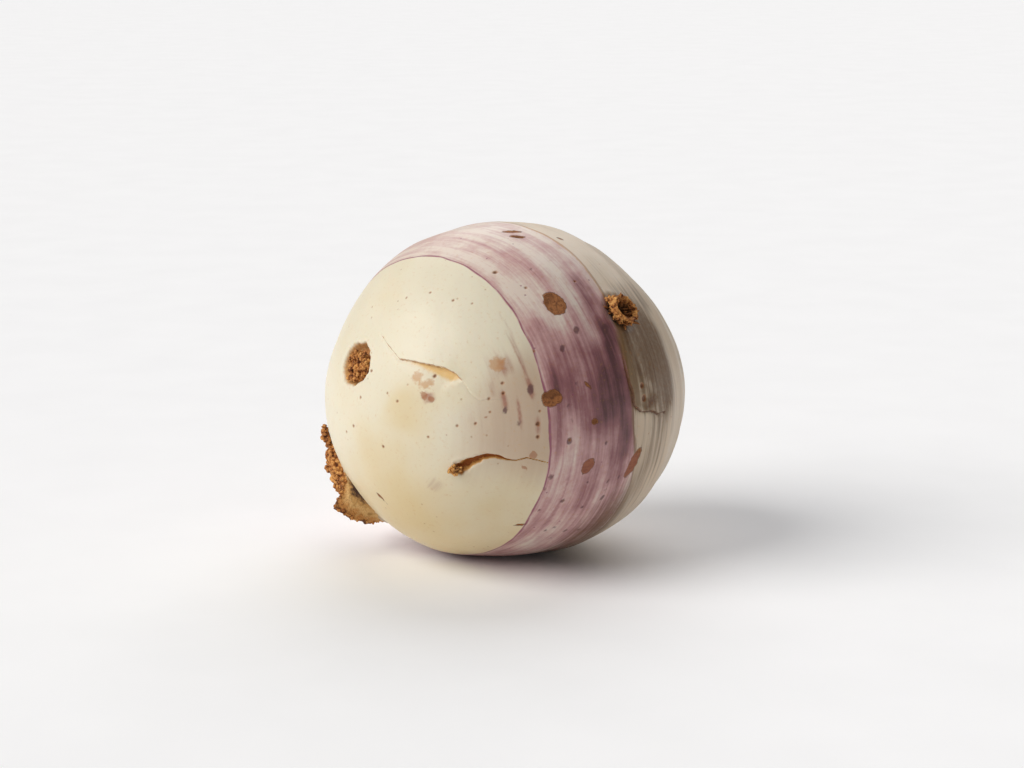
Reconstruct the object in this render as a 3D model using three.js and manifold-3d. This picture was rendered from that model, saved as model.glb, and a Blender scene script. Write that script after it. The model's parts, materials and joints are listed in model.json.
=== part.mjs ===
// A turnip lying on its side. One swollen root carries a snapped tap root, the stub of a side
// root, a pit, an open crack, a lifted lip and a tear of the skin, and the cut leaf stubs of its
// crown. Dried soil is caught in the pit, on both broken roots, above the tap root and in the
// crack, and each clod of it is a solid of its own.
// Millimetres, +Z up. The root rests on a small flat spot at Z = 0. Its crown points to +X +Y.
import * as THREE from "three";
import { mergeVertices } from "three/addons/utils/BufferGeometryUtils.js";
import Module from "manifold-3d";

const wasm = await Module();
wasm.setup();

const radians = THREE.MathUtils.degToRad;
const GOLDEN_ANGLE = radians(137.5);

// The root's outline from the front: its radius every 22.5 degrees, counter-clockwise from +X,
// in a plane that leans back from the vertical.
const OUTLINE_RADII = [
  40.4, 38.9, 37.1, 37.7, 37.4, 37.3, 38.8, 38.1,
  40.4, 40.2, 39.5, 39.5, 36.3, 38.1, 39.5, 40.0,
];
const OUTLINE_LEAN = radians(12);
const FRONT_RADIUS = 38.6;
const BACK_RADIUS = 38.2;
const CENTRE = new THREE.Vector3(0.5, 0.07, 36.7);

// The crown that the growth rings circle: its bearing from +X towards +Y, and its height.
const CROWN_BEARING = radians(46);
const CROWN_RISE = radians(2);
const CROWN_KNOB = { height: 1.6, reach: 9 };
const CROWN_HOLLOW = { depth: 1.1, at: 17, reach: 6 };

// Ledges of the skin round the crown: degrees from the crown, millimetres proud, degrees wide.
const RING_LEDGES = [
  { at: 24, proud: 0.45, wide: 2.6 },
  { at: 31, proud: 0.45, wide: 2.8 },
  { at: 39, proud: 0.4, wide: 3.0 },
  { at: 48, proud: 0.35, wide: 3.2 },
  { at: 58, proud: 0.3, wide: 3.4 },
  { at: 70, proud: 0.25, wide: 3.6 },
  { at: 88, proud: 0.25, wide: 4.0 },
  { at: 104, proud: 0.2, wide: 5.0 },
];
const GRID_ROWS = 54;
const GRID_COLUMNS = 52;

// Places on the front, as millimetres across and up the leaning plane from the centre.
const PIT = { across: -31.6, up: 5.0, halfWidth: 5.0, halfHeight: 4.3, depth: 2.6 };
const SIDE_ROOT = {
  across: 24.8,
  up: 16.5,
  base: 3.4,
  mouth: 2.2,
  height: 1.1,
  sunk: 1.2,
  bore: 1.2,
  boreDepth: 2.2,
  sides: 14,
};

// Splits of the skin, as places on the front with half the width and the depth at each.
const CRACK = [
  { across: -9.9, up: -16.9, half: 1.5, deep: 1.5 },
  { across: -7.3, up: -15.5, half: 1.2, deep: 1.4 },
  { across: -4.3, up: -14.2, half: 0.9, deep: 1.2 },
  { across: -1.6, up: -14.0, half: 0.6, deep: 0.9 },
  { across: 0.9, up: -14.7, half: 0.25, deep: 0.5 },
];
const SKIN_LIP = [
  { across: -24.0, up: 8.5, half: 0.25, deep: 0.35 },
  { across: -20.5, up: 6.4, half: 0.4, deep: 0.5 },
  { across: -16.2, up: 4.9, half: 0.9, deep: 0.6 },
  { across: -12.6, up: 3.5, half: 1.4, deep: 0.7 },
  { across: -10.2, up: 2.4, half: 0.8, deep: 0.5 },
];
const SKIN_TEAR = [
  { across: 25.6, up: 5.1, half: 0.25, deep: 0.35 },
  { across: 26.7, up: 0.4, half: 0.5, deep: 0.5 },
  { across: 28.3, up: -3.6, half: 0.6, deep: 0.7 },
  { across: 31.2, up: -4.6, half: 0.6, deep: 0.7 },
  { across: 34.4, up: -4.6, half: 0.45, deep: 0.5 },
  { across: 36.0, up: -2.3, half: 0.25, deep: 0.35 },
];
const SPLIT_TOP = 1.5; // how far a split's cutter stands out of the skin
const SPLIT_FLOOR = 1 / 3; // the floor's width as a share of the mouth's

// The tap root snapped off on the lower left, a little behind the outline's plane. Its broken
// wall is low towards the left and highest just below the middle.
const TAP_ROOT = {
  angle: radians(214),
  behind: radians(8),
  along: 9.5,
  deep: 7.0,
  wall: 1.5,
  shoulder: 0.5,
  flare: 2.2,
  sunk: 2.5,
  floor: 0.6,
  low: 1.3,
  high: 5.6,
  riseFrom: -0.35,
  peak: 0.2,
  fall: 4.0,
  sides: 28,
};

// Leaf stalks cut short on the crown, in the spiral in which leaves grow.
const STALKS = {
  count: 11,
  first: 1.9,
  spacing: 2.1,
  proud: 2.4,
  sunk: 1.5,
  halfWidth: 1.9,
  halfThick: 0.93,
  taper: 0.86,
  growth: 0.04,
  lean: 0.25,
  leanStep: 0.03,
  sides: 9,
};

// Clods of soil: half length and half width of the ground they cover, the height their crumbs
// stand at, the crumbs' radius and number, and the core they stand out of.
const PIT_SOIL = {
  along: 3.1,
  across: 3.8,
  height: -0.3,
  crumbs: 24,
  size: 0.85,
  seed: 11,
  core: { along: 3.8, across: 4.5, tall: 1.1, height: -1.2 },
};
const TAP_SOIL = {
  angle: radians(209),
  along: 8.4,
  across: 5.4,
  height: 3.6,
  crumbs: 42,
  size: 1.2,
  seed: 23,
  core: { along: 7.6, across: 5.2, tall: 3.0, height: 0 },
};
const LUMP_SOIL = {
  angle: radians(194.6),
  behind: radians(4),
  along: 2.3,
  across: 1.9,
  height: 1.7,
  crumbs: 12,
  size: 0.85,
  seed: 37,
  core: { along: 2.1, across: 1.8, tall: 1.5, height: 0.5 },
};
const SIDE_SOIL = { along: 3.9, across: 3.1, height: 1.9, hole: 0.6, crumbs: 16, size: 0.8, seed: 5 };
const SIDE_COLLAR = [
  { along: 2.2, across: 1.9, height: 0.6 },
  { along: 3.9, across: 3.4, height: 0.5 },
  { along: 3.4, across: 3.0, height: 1.7 },
  { along: 2.2, across: 1.9, height: 2.1 },
];
const CRACK_SOIL = {
  place: { across: -10.2, up: -16.7 },
  along: 1.2,
  across: 1.0,
  height: 0.6,
  crumbs: 9,
  size: 0.6,
  seed: 41,
  core: { along: 1.5, across: 1.2, tall: 1.1, height: -0.1 },
};
const CLEARANCE = 0.35; // between the soil and the root
const DOME = 0.7; // how much lower a clod's edge stands than its middle
const FLOOR_BLOCK = 120;

const ACROSS = new THREE.Vector3(1, 0, 0);
const UP = new THREE.Vector3(0, Math.sin(OUTLINE_LEAN), Math.cos(OUTLINE_LEAN));
const TOWARD = new THREE.Vector3(0, -Math.cos(OUTLINE_LEAN), Math.sin(OUTLINE_LEAN));
const CROWN = new THREE.Vector3(
  Math.cos(CROWN_RISE) * Math.cos(CROWN_BEARING),
  Math.cos(CROWN_RISE) * Math.sin(CROWN_BEARING),
  Math.sin(CROWN_RISE),
);

// A uniform cubic spline through the outline's radii, closed on itself.
function outlineRadius(angle) {
  const count = OUTLINE_RADII.length;
  const turns = angle / (2 * Math.PI);
  const t = (turns - Math.floor(turns)) * count;
  const i = Math.floor(t);
  const f = t - i;
  const weights = [
    (1 - f) ** 3,
    3 * f ** 3 - 6 * f ** 2 + 4,
    -3 * f ** 3 + 3 * f ** 2 + 3 * f + 1,
    f ** 3,
  ];
  return weights.reduce((sum, w, k) => sum + (w / 6) * OUTLINE_RADII[(i + k - 1 + count) % count], 0);
}

const bump = (x, centre, reach) => Math.exp(-(((x - centre) / reach) ** 2));

// The knob, the hollow round it and the ledges, by the angle from the crown in degrees.
function relief(fromCrown) {
  const knob = CROWN_KNOB.height * bump(fromCrown, 0, CROWN_KNOB.reach);
  const hollow = CROWN_HOLLOW.depth * bump(fromCrown, CROWN_HOLLOW.at, CROWN_HOLLOW.reach);
  const ledges = RING_LEDGES.reduce((sum, l) => sum + l.proud * bump(fromCrown, l.at, l.wide), 0);
  return knob - hollow + ledges;
}

// The root's radius along a unit direction from its centre.
function rootRadius(direction) {
  const toward = direction.dot(TOWARD);
  const outline = outlineRadius(Math.atan2(direction.dot(UP), direction.dot(ACROSS)));
  const depth = toward > 0 ? FRONT_RADIUS : BACK_RADIUS;
  const fromCrown = THREE.MathUtils.radToDeg(direction.angleTo(CROWN));
  return outline * (1 - toward ** 2) + depth * toward ** 2 + relief(fromCrown);
}

// The direction of a place on the front, given across and up. A few passes settle its depth.
function frontDirection({ across, up }) {
  const passes = 8;
  const direction = new THREE.Vector3();
  let radius = FRONT_RADIUS;
  for (let pass = 0; pass < passes; pass++) {
    const toward = Math.sqrt(radius ** 2 - across ** 2 - up ** 2);
    direction
      .copy(ACROSS)
      .multiplyScalar(across)
      .addScaledVector(UP, up)
      .addScaledVector(TOWARD, toward)
      .normalize();
    radius = rootRadius(direction);
  }
  return direction;
}

// A place on the skin with its own axes: u runs along "along", v across it, and height outwards.
function seat(out, along) {
  const u = along.clone().addScaledVector(out, -along.dot(out)).normalize();
  const v = new THREE.Vector3().crossVectors(out, u);
  const start = out.clone().multiplyScalar(rootRadius(out));
  const at = (du, dv, height) => {
    const direction = start.clone().addScaledVector(u, du).addScaledVector(v, dv).normalize();
    return direction.multiplyScalar(rootRadius(direction) + height);
  };
  return { out, u, v, at };
}

// A place on the outline, by its angle there and how far it lies behind the outline's plane.
// Its u runs on round the outline.
function outlineSeat(angle, behind) {
  const out = ACROSS.clone()
    .multiplyScalar(Math.cos(angle))
    .addScaledVector(UP, Math.sin(angle))
    .multiplyScalar(Math.cos(behind))
    .addScaledVector(TOWARD, -Math.sin(behind));
  const along = ACROSS.clone().multiplyScalar(-Math.sin(angle)).addScaledVector(UP, Math.cos(angle));
  return seat(out, along);
}

// A closed solid from a geometry, turned inside out where its faces point in.
function solid(geometry) {
  const bare = geometry.clone();
  bare.deleteAttribute("normal");
  bare.deleteAttribute("uv");
  const merged = mergeVertices(bare, 1e-4);
  const vertProperties = merged.attributes.position.array;
  const made = (triVerts) => new wasm.Manifold(new wasm.Mesh({ numProp: 3, vertProperties, triVerts }));
  const faces = new Uint32Array(merged.index.array);
  const body = made(faces);
  return body.volume() < 0 ? made(faces.toReversed()) : body;
}

function solidOf(points, faces) {
  const geometry = new THREE.BufferGeometry().setFromPoints(points);
  geometry.setIndex(faces);
  return solid(geometry);
}

// The faces between each ring of points and the next.
function bands(rings, count) {
  const around = rings[0].length;
  const faces = [];
  for (let r = 0; r < count; r++) {
    const next = ((r + 1) % rings.length) * around;
    for (let c = 0; c < around; c++) {
      const d = (c + 1) % around;
      const [a, b] = [r * around + c, r * around + d];
      faces.push(a, next + c, b, b, next + c, next + d);
    }
  }
  return faces;
}

// A solid skinned over rings of points, its two ends closed.
function loft(rings) {
  const around = rings[0].length;
  const faces = bands(rings, rings.length - 1);
  const last = (rings.length - 1) * around;
  for (let c = 1; c + 1 < around; c++) {
    faces.push(0, c, c + 1);
    faces.push(last, last + c + 1, last + c);
  }
  return solidOf(rings.flat(), faces);
}

// A collar: the last ring joins the first, so the skin is a tube bent round in a circle.
function collar(rings) {
  return solidOf(rings.flat(), bands(rings, rings.length));
}

// An oval of points round a seat. Its height may change with the turn round it.
function oval(place, halfAlong, halfAcross, heightAt, sides) {
  return Array.from({ length: sides }, (_, i) => {
    const turn = (2 * Math.PI * i) / sides;
    return place.at(halfAlong * Math.cos(turn), halfAcross * Math.sin(turn), heightAt(turn, i));
  });
}

// An ellipsoid on the skin: its radii along u, across and outwards, and its centre's height.
function ellipsoid(place, { along, across, tall, height }, detail) {
  const geometry = new THREE.IcosahedronGeometry(1, detail);
  const matrix = new THREE.Matrix4().makeBasis(
    place.u.clone().multiplyScalar(along),
    place.v.clone().multiplyScalar(across),
    place.out.clone().multiplyScalar(tall),
  );
  geometry.applyMatrix4(matrix.setPosition(place.at(0, 0, height)));
  return solid(geometry);
}

// The bare swollen root, as rows round the crown's axis. Odd rows are set half a column on.
function rootBody(grow) {
  const pole = seat(CROWN, new THREE.Vector3(0, 0, 1));
  const points = [];
  const place = (angle, turn) => {
    const direction = CROWN.clone()
      .multiplyScalar(Math.cos(angle))
      .addScaledVector(pole.u, Math.sin(angle) * Math.cos(turn))
      .addScaledVector(pole.v, Math.sin(angle) * Math.sin(turn))
      .normalize();
    points.push(direction.multiplyScalar(rootRadius(direction) + grow));
  };
  place(0, 0);
  for (let row = 1; row < GRID_ROWS; row++)
    for (let column = 0; column < GRID_COLUMNS; column++)
      place((Math.PI * row) / GRID_ROWS, (2 * Math.PI * (column + (row % 2) / 2)) / GRID_COLUMNS);
  place(Math.PI, 0);

  const faces = [];
  const last = points.length - 1;
  const index = (row, column) => 1 + (row - 1) * GRID_COLUMNS + (column % GRID_COLUMNS);
  for (let column = 0; column < GRID_COLUMNS; column++) {
    faces.push(0, index(1, column), index(1, column + 1));
    faces.push(last, index(GRID_ROWS - 1, column + 1), index(GRID_ROWS - 1, column));
    for (let row = 1; row + 1 < GRID_ROWS; row++) {
      const a = index(row, column);
      const b = index(row, column + 1);
      const c = index(row + 1, column);
      const d = index(row + 1, column + 1);
      if (row % 2) faces.push(a, c, d, a, d, b);
      else faces.push(a, c, b, b, c, d);
    }
  }
  return solidOf(points, faces);
}

const pitSeat = seat(frontDirection(PIT), UP);
const sideSeat = seat(frontDirection(SIDE_ROOT), CROWN);
const tapSeat = outlineSeat(TAP_ROOT.angle, TAP_ROOT.behind);

function pitHollow(grow) {
  const radii = {
    along: PIT.halfHeight - grow,
    across: PIT.halfWidth - grow,
    tall: PIT.depth - grow,
    height: 0,
  };
  return ellipsoid(pitSeat, radii, 3);
}

// The cutter of a split in the skin: it follows its stations and narrows to a floor.
function splitCutter(stations, grow) {
  const directions = stations.map(frontDirection);
  const rings = stations.map((station, i) => {
    const before = directions[Math.max(i - 1, 0)];
    const after = directions[Math.min(i + 1, stations.length - 1)];
    const place = seat(directions[i], after.clone().sub(before));
    const half = Math.max(station.half - grow, 0.1 * station.half);
    const floor = -Math.max(station.deep - grow, 0.1 * station.deep);
    return [
      place.at(0, half, SPLIT_TOP),
      place.at(0, -half, SPLIT_TOP),
      place.at(0, -half * SPLIT_FLOOR, floor),
      place.at(0, half * SPLIT_FLOOR, floor),
    ];
  });
  return loft(rings);
}

// The ragged height of the tap root's broken wall, by the turn round its axis.
function tapWallHeight(turn, index) {
  const side = Math.cos(turn);
  const rise = THREE.MathUtils.smoothstep(side, TAP_ROOT.riseFrom, TAP_ROOT.peak);
  const fall = TAP_ROOT.fall * Math.max(side - TAP_ROOT.peak, 0) ** 2;
  const ragged = 0.35 * Math.sin(index * 2.4) + 0.25 * Math.sin(index * 5.1);
  return TAP_ROOT.low + rise * (TAP_ROOT.high - TAP_ROOT.low - fall) + ragged;
}

// The tap root's neck: it flares from the skin to a ragged broken rim round a hollow end.
function tapRootNeck(grow) {
  const ring = (spread, heightAt) =>
    oval(tapSeat, TAP_ROOT.along + spread, TAP_ROOT.deep + spread, heightAt, TAP_ROOT.sides);
  const wallAt = (share) => (turn, i) => tapWallHeight(turn, i) * share + grow;
  return collar([
    ring(-TAP_ROOT.wall - grow, () => grow - TAP_ROOT.floor),
    ring(-TAP_ROOT.wall - grow, wallAt(0.8)),
    ring(grow, wallAt(1)),
    ring(TAP_ROOT.shoulder + grow, wallAt(0.45)),
    ring(TAP_ROOT.flare + grow, () => -TAP_ROOT.floor),
    ring(0, () => -TAP_ROOT.sunk),
    ring(-TAP_ROOT.wall, () => -TAP_ROOT.sunk),
  ]);
}

// The side root's stub: a low cone, bored where its core has rotted.
function sideRootStub(grow) {
  const ring = (radius, height) => oval(sideSeat, radius, radius, () => height, SIDE_ROOT.sides);
  return loft([
    ring(SIDE_ROOT.base + grow, -SIDE_ROOT.sunk),
    ring(SIDE_ROOT.base + grow, grow),
    ring(SIDE_ROOT.mouth + grow, SIDE_ROOT.height + grow),
  ]);
}

function sideRootBore() {
  const { bore, boreDepth, height } = SIDE_ROOT;
  return ellipsoid(sideSeat, { along: bore, across: bore, tall: boreDepth, height }, 1);
}

// One cut leaf stalk: an oval stick that leans outwards, wide round the crown.
function leafStalk(crown, i) {
  const turn = i * GOLDEN_ANGLE;
  const distance = STALKS.first + STALKS.spacing * Math.sqrt(i);
  const foot = crown.at(distance * Math.cos(turn), distance * Math.sin(turn), -STALKS.sunk);
  const outward = foot.clone().addScaledVector(CROWN, -foot.dot(CROWN)).normalize();
  const axis = CROWN.clone().addScaledVector(outward, STALKS.lean + STALKS.leanStep * i).normalize();
  const wide = new THREE.Vector3().crossVectors(axis, outward).normalize();
  const thick = new THREE.Vector3().crossVectors(wide, axis);
  const ring = (height, share) =>
    Array.from({ length: STALKS.sides }, (_, k) => {
      const angle = (2 * Math.PI * k) / STALKS.sides;
      const size = share * (1 + STALKS.growth * i);
      return foot
        .clone()
        .addScaledVector(axis, height)
        .addScaledVector(wide, size * STALKS.halfWidth * Math.cos(angle))
        .addScaledVector(thick, size * STALKS.halfThick * Math.sin(angle));
    });
  return loft([ring(0, 1), ring(STALKS.sunk + STALKS.proud, STALKS.taper)]);
}

// What the root and the soil's clearance from it share: with "grow" it is that much larger.
function rootWithStubs(grow) {
  return rootBody(grow)
    .subtract(pitHollow(grow))
    .subtract(splitCutter(CRACK, grow))
    .add(tapRootNeck(grow))
    .add(sideRootStub(grow))
    .subtract(sideRootBore());
}

// The whole root: its splits cut, its leaf stalks on and its flat spot made.
function turnipRoot() {
  let root = rootWithStubs(0).subtract(splitCutter(SKIN_LIP, 0)).subtract(splitCutter(SKIN_TEAR, 0));
  const crown = seat(CROWN, new THREE.Vector3(0, 0, 1));
  for (let i = 0; i < STALKS.count; i++) root = root.add(leafStalk(crown, i));
  const below = new THREE.BoxGeometry(FLOOR_BLOCK, FLOOR_BLOCK, FLOOR_BLOCK);
  below.translate(0, 0, -CENTRE.z - FLOOR_BLOCK / 2);
  return root.subtract(solid(below));
}

// The same draws every time, from a start number.
function seededDraws(start) {
  let state = start >>> 0;
  return () => {
    state = (Math.imul(state, 1664525) + 1013904223) >>> 0;
    return state / 4294967296;
  };
}

// One angular crumb of soil: an icosahedron with each corner moved in or out.
function crumb(draw, centre, size) {
  const geometry = new THREE.IcosahedronGeometry(1, 0);
  geometry.deleteAttribute("normal");
  geometry.deleteAttribute("uv");
  const merged = mergeVertices(geometry, 1e-4);
  const position = merged.attributes.position;
  const anyTurn = () => 2 * Math.PI * draw();
  const turned = new THREE.Euler(anyTurn(), anyTurn(), anyTurn());
  const stretch = new THREE.Vector3(0.75 + 0.5 * draw(), 0.75 + 0.5 * draw(), 0.75 + 0.5 * draw());
  const corner = new THREE.Vector3();
  for (let i = 0; i < position.count; i++) {
    corner.fromBufferAttribute(position, i).multiplyScalar(size * (0.85 + 0.3 * draw()));
    corner.multiply(stretch).applyEuler(turned).add(centre);
    position.setXYZ(i, corner.x, corner.y, corner.z);
  }
  return solid(merged);
}

// A clod: crumbs standing out of its core, spread evenly over an oval of the skin, or over the
// part of it outside a hole.
function clod(place, core, { along, across, height, crumbs, size, seed, hole = 0 }) {
  const draw = seededDraws(seed);
  const shift = () => (draw() - 0.5) * size;
  let body = core;
  for (let i = 0; i < crumbs; i++) {
    const share = Math.sqrt(hole ** 2 + (1 - hole ** 2) * ((i + 0.5) / crumbs));
    const turn = i * GOLDEN_ANGLE;
    const du = along * share * Math.cos(turn) + shift();
    const dv = across * share * Math.sin(turn) + shift();
    const up = height * (1 - DOME * share ** 2) + shift() * DOME;
    body = body.add(crumb(draw, place.at(du, dv, up), size * (0.7 + 0.6 * draw())));
  }
  return body;
}

const clodOnCore = (place, soil) => clod(place, ellipsoid(place, soil.core, 1), soil);

// The side root's soil stands round its bore, on a collar.
function soilRoundSideRoot() {
  const rings = SIDE_COLLAR.map(({ along, across, height }) =>
    oval(sideSeat, along, across, () => height, SIDE_ROOT.sides),
  );
  return clod(sideSeat, collar(rings), SIDE_SOIL);
}

// What is left of a clod clear of the root, as one body without loose scraps.
function clearOfRoot(body, grownRoot) {
  const pieces = body.subtract(grownRoot).decompose();
  return pieces.reduce((largest, piece) => (piece.volume() > largest.volume() ? piece : largest));
}

const skin = new THREE.MeshStandardMaterial({ color: 0xe6dcc4, roughness: 0.45, metalness: 0 });
const driedSoil = new THREE.MeshStandardMaterial({ color: 0xa0652f, roughness: 0.95, metalness: 0 });
const paleSoil = new THREE.MeshStandardMaterial({ color: 0xc9964f, roughness: 0.95, metalness: 0 });

function meshOf(name, body, material) {
  const { numProp, vertProperties, triVerts } = body.getMesh();
  const positions = [];
  for (let i = 0; i < vertProperties.length; i += numProp)
    positions.push(vertProperties[i], vertProperties[i + 1], vertProperties[i + 2]);
  const geometry = new THREE.BufferGeometry();
  geometry.setAttribute("position", new THREE.Float32BufferAttribute(positions, 3));
  geometry.setIndex(new THREE.BufferAttribute(triVerts, 1));
  geometry.computeVertexNormals();
  const mesh = new THREE.Mesh(geometry, material);
  mesh.name = name;
  return mesh;
}

const grownRoot = rootWithStubs(CLEARANCE);
const soilMesh = (name, body, material) => meshOf(name, clearOfRoot(body, grownRoot), material);
const tapSoilSeat = outlineSeat(TAP_SOIL.angle, TAP_ROOT.behind);
const lumpSeat = outlineSeat(LUMP_SOIL.angle, LUMP_SOIL.behind);
const crackSeat = seat(frontDirection(CRACK_SOIL.place), ACROSS);

const turnip = new THREE.Group();
turnip.position.copy(CENTRE);
turnip.add(
  meshOf("turnip_root", turnipRoot(), skin),
  soilMesh("soil_in_pit", clodOnCore(pitSeat, PIT_SOIL), driedSoil),
  soilMesh("soil_on_tap_root", clodOnCore(tapSoilSeat, TAP_SOIL), driedSoil),
  soilMesh("soil_above_tap_root", clodOnCore(lumpSeat, LUMP_SOIL), driedSoil),
  soilMesh("soil_on_side_root", soilRoundSideRoot(), paleSoil),
  soilMesh("soil_in_crack", clodOnCore(crackSeat, CRACK_SOIL), paleSoil),
);

export default turnip;
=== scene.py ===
"""The looks of a turnip that lies on its side: its waxy skin with a purple band, its broken roots,
the stalks cut off at its crown, and the dried soil caught on it."""

import json
import math

import bmesh
import bpy
import numpy as np
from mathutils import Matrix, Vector, noise


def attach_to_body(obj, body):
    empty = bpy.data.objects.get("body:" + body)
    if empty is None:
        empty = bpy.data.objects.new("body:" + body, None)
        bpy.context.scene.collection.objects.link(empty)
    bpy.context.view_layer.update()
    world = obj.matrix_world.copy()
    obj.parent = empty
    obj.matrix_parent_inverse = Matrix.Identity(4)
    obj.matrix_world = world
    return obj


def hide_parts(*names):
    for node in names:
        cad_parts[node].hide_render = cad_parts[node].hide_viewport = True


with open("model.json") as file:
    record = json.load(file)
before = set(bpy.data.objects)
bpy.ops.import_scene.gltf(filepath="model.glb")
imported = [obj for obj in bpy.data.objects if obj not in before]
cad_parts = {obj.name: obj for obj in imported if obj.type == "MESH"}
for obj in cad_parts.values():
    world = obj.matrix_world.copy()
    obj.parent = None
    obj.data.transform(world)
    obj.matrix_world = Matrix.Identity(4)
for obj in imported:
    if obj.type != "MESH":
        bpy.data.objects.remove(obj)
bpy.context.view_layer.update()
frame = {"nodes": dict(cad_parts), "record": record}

bl_info = {
    "name": "Turnip",
    "version": (1, 0, 0),
    "blender": (4, 5, 0),
    "location": "View3D > Sidebar > Turnip",
    "description": "Builds a turnip with split skin, broken roots and dried soil round its packed solids",
    "category": "Object",
}

BODY = "root"
MM = 0.001
GOLDEN_ANGLE = math.radians(137.5)

# The root's shape, in millimetres, as the solids have it.
OUTLINE_RADII = np.array(
    [40.4, 38.9, 37.1, 37.7, 37.4, 37.3, 38.8, 38.1, 40.4, 40.2, 39.5, 39.5, 36.3, 38.1, 39.5, 40.0]
)
OUTLINE_LEAN = math.radians(12)
FRONT_RADIUS = 38.6
BACK_RADIUS = 38.2
CENTRE = np.array([0.5, 0.07, 36.7])
CROWN_BEARING = math.radians(46)
CROWN_RISE = math.radians(2)
CROWN_KNOB = (1.6, 0, 9)  # millimetres proud, degrees from the crown, degrees wide
CROWN_HOLLOW = (-1.1, 17, 6)
RING_LEDGES = [
    (0.45, 24, 2.6),
    (0.45, 31, 2.8),
    (0.4, 39, 3.0),
    (0.35, 48, 3.2),
    (0.3, 58, 3.4),
    (0.25, 70, 3.6),
    (0.25, 88, 4.0),
    (0.2, 104, 5.0),
]
SKIN_UNDER_SOLID = 0.14  # keeps the skin's own lumps inside the solids' box
LUMPS = 0.11
ARC_MM = math.radians(39)  # how much skin a degree round the centre spans

ACROSS = np.array([1.0, 0.0, 0.0])
UP = np.array([0.0, math.sin(OUTLINE_LEAN), math.cos(OUTLINE_LEAN)])
TOWARD = np.array([0.0, -math.cos(OUTLINE_LEAN), math.sin(OUTLINE_LEAN)])
CROWN = np.array(
    [
        math.cos(CROWN_RISE) * math.cos(CROWN_BEARING),
        math.cos(CROWN_RISE) * math.sin(CROWN_BEARING),
        math.sin(CROWN_RISE),
    ]
)


def unit(vectors):
    return vectors / np.linalg.norm(vectors, axis=-1, keepdims=True)


# Round the crown, a ring turn of 0 is at the top and one of 90 degrees faces the front.
RING_TOP = unit(np.array([0.0, 0.0, 1.0]) - CROWN * CROWN[2])
RING_FRONT = np.cross(CROWN, RING_TOP)

# Places on the front are millimetres across and up the leaning plane from the centre.
PIT = {"across": -31.9, "up": 5.6, "half_wide": 5.6, "half_high": 5.0, "deep": 2.3, "slope": 1.3}
SIDE_ROOT = {"across": 24.8, "up": 16.5, "dimple": 4.2, "deep": 0.55, "hole": 2.3}
TAP_ROOT = {
    "angle": math.radians(214),
    "behind": math.radians(8),
    "along": 9.5,
    "deep": 7.0,
    "wall": 1.5,
    "low": 1.3,
    "high": 5.4,
    "lowest": 0.5,
    "ragged": 0.8,
    "spike": 1.5,
    "rise_from": -0.35,
    "peak": 0.2,
    "fall": 7.0,
}

# Relief round the marks, in millimetres. A swell is how high it stands, where its middle lies inside
# the mark's edge and how wide it is. A lift is how high an edge stands and how far that reaches.
PIT_SWELL = (0.12, -0.35, 0.4)
SCAR_SWELL = (0.03, -0.12, 0.2)
SIDE_ROOT_SWELL = (0.12, -1.2, 1.1)
NECK_SWELL = (0.9, 1.0, 0.17)  # by shares of the neck's size
CRACK_SWELLS = {1: 0.1, -1: 0.05}  # above and below the crack, by its half width
CRACK_SWELL_AT = (-0.45, 0.5)
LIP_LIFT = (0.45, 2.2)
TEAR_LIFT = (0.7, 1.8)
LIP_SUNK = 0.9
TEAR_SUNK = (0.6, 0.5)
SCAR_SUNK = 0.08
SCAR_GRAIN = 0.06
PORE_DEEP = 0.22
NECK_BOWL = 1.5

# How far the edge of each kind of mark wanders, in millimetres, and that of the crack by its width.
RAGGED = {
    "pit": 0.55,
    "side_root": 0.3,
    "lip": 0.16,
    "tear": 0.3,
    "scar": 0.22,
    "spot": 0.2,
    "scaly": 0.5,
    "tan": 0.4,
    "rust": 0.3,
}
CRACK_RAGGED = 0.35

# Splits of the skin: across, up, half the width and the depth at each station.
CRACK = [
    (-10.6, -17.4, 0.5, 0.6),
    (-9.6, -16.9, 1.55, 1.5),
    (-7.3, -15.5, 1.15, 1.4),
    (-4.3, -14.2, 0.8, 1.2),
    (-1.6, -14.0, 0.5, 0.8),
    (0.9, -14.75, 0.22, 0.45),
    (2.6, -14.9, 0.12, 0.2),
    (4.9, -14.3, 0.12, 0.2),
    (7.0, -14.8, 0.11, 0.15),
    (9.3, -15.4, 0.08, 0.1),
]
SKIN_LIP = [
    (-26.2, 11.9, 0.1, 0.1),
    (-24.0, 8.9, 0.25, 0.25),
    (-21.9, 6.4, 0.35, 0.35),
    (-18.5, 5.8, 0.8, 0.5),
    (-15.3, 5.2, 1.7, 0.75),
    (-12.2, 4.5, 2.5, 0.85),
    (-9.7, 3.1, 2.2, 0.65),
    (-8.6, 1.7, 0.3, 0.12),
    (-7.8, 0.8, 0.15, 0.1),
    (-6.6, -1.0, 0.1, 0.1),
    (-4.7, -2.2, 0.1, 0.1),
    (-1.5, -2.1, 0.08, 0.1),
    (1.0, -1.9, 0.05, 0.05),
]
SKIN_TEAR = [
    (25.1, 9.4, 0.15, 0.15),
    (25.7, 5.1, 0.3, 0.3),
    (26.7, 0.9, 0.45, 0.45),
    (27.9, -3.6, 0.6, 0.6),
    (29.4, -4.7, 0.6, 0.6),
    (31.2, -4.4, 0.6, 0.6),
    (33.0, -5.2, 0.55, 0.55),
    (34.8, -4.9, 0.5, 0.5),
    (36.0, -2.3, 0.3, 0.35),
    (36.5, -0.2, 0.1, 0.1),
]

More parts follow.
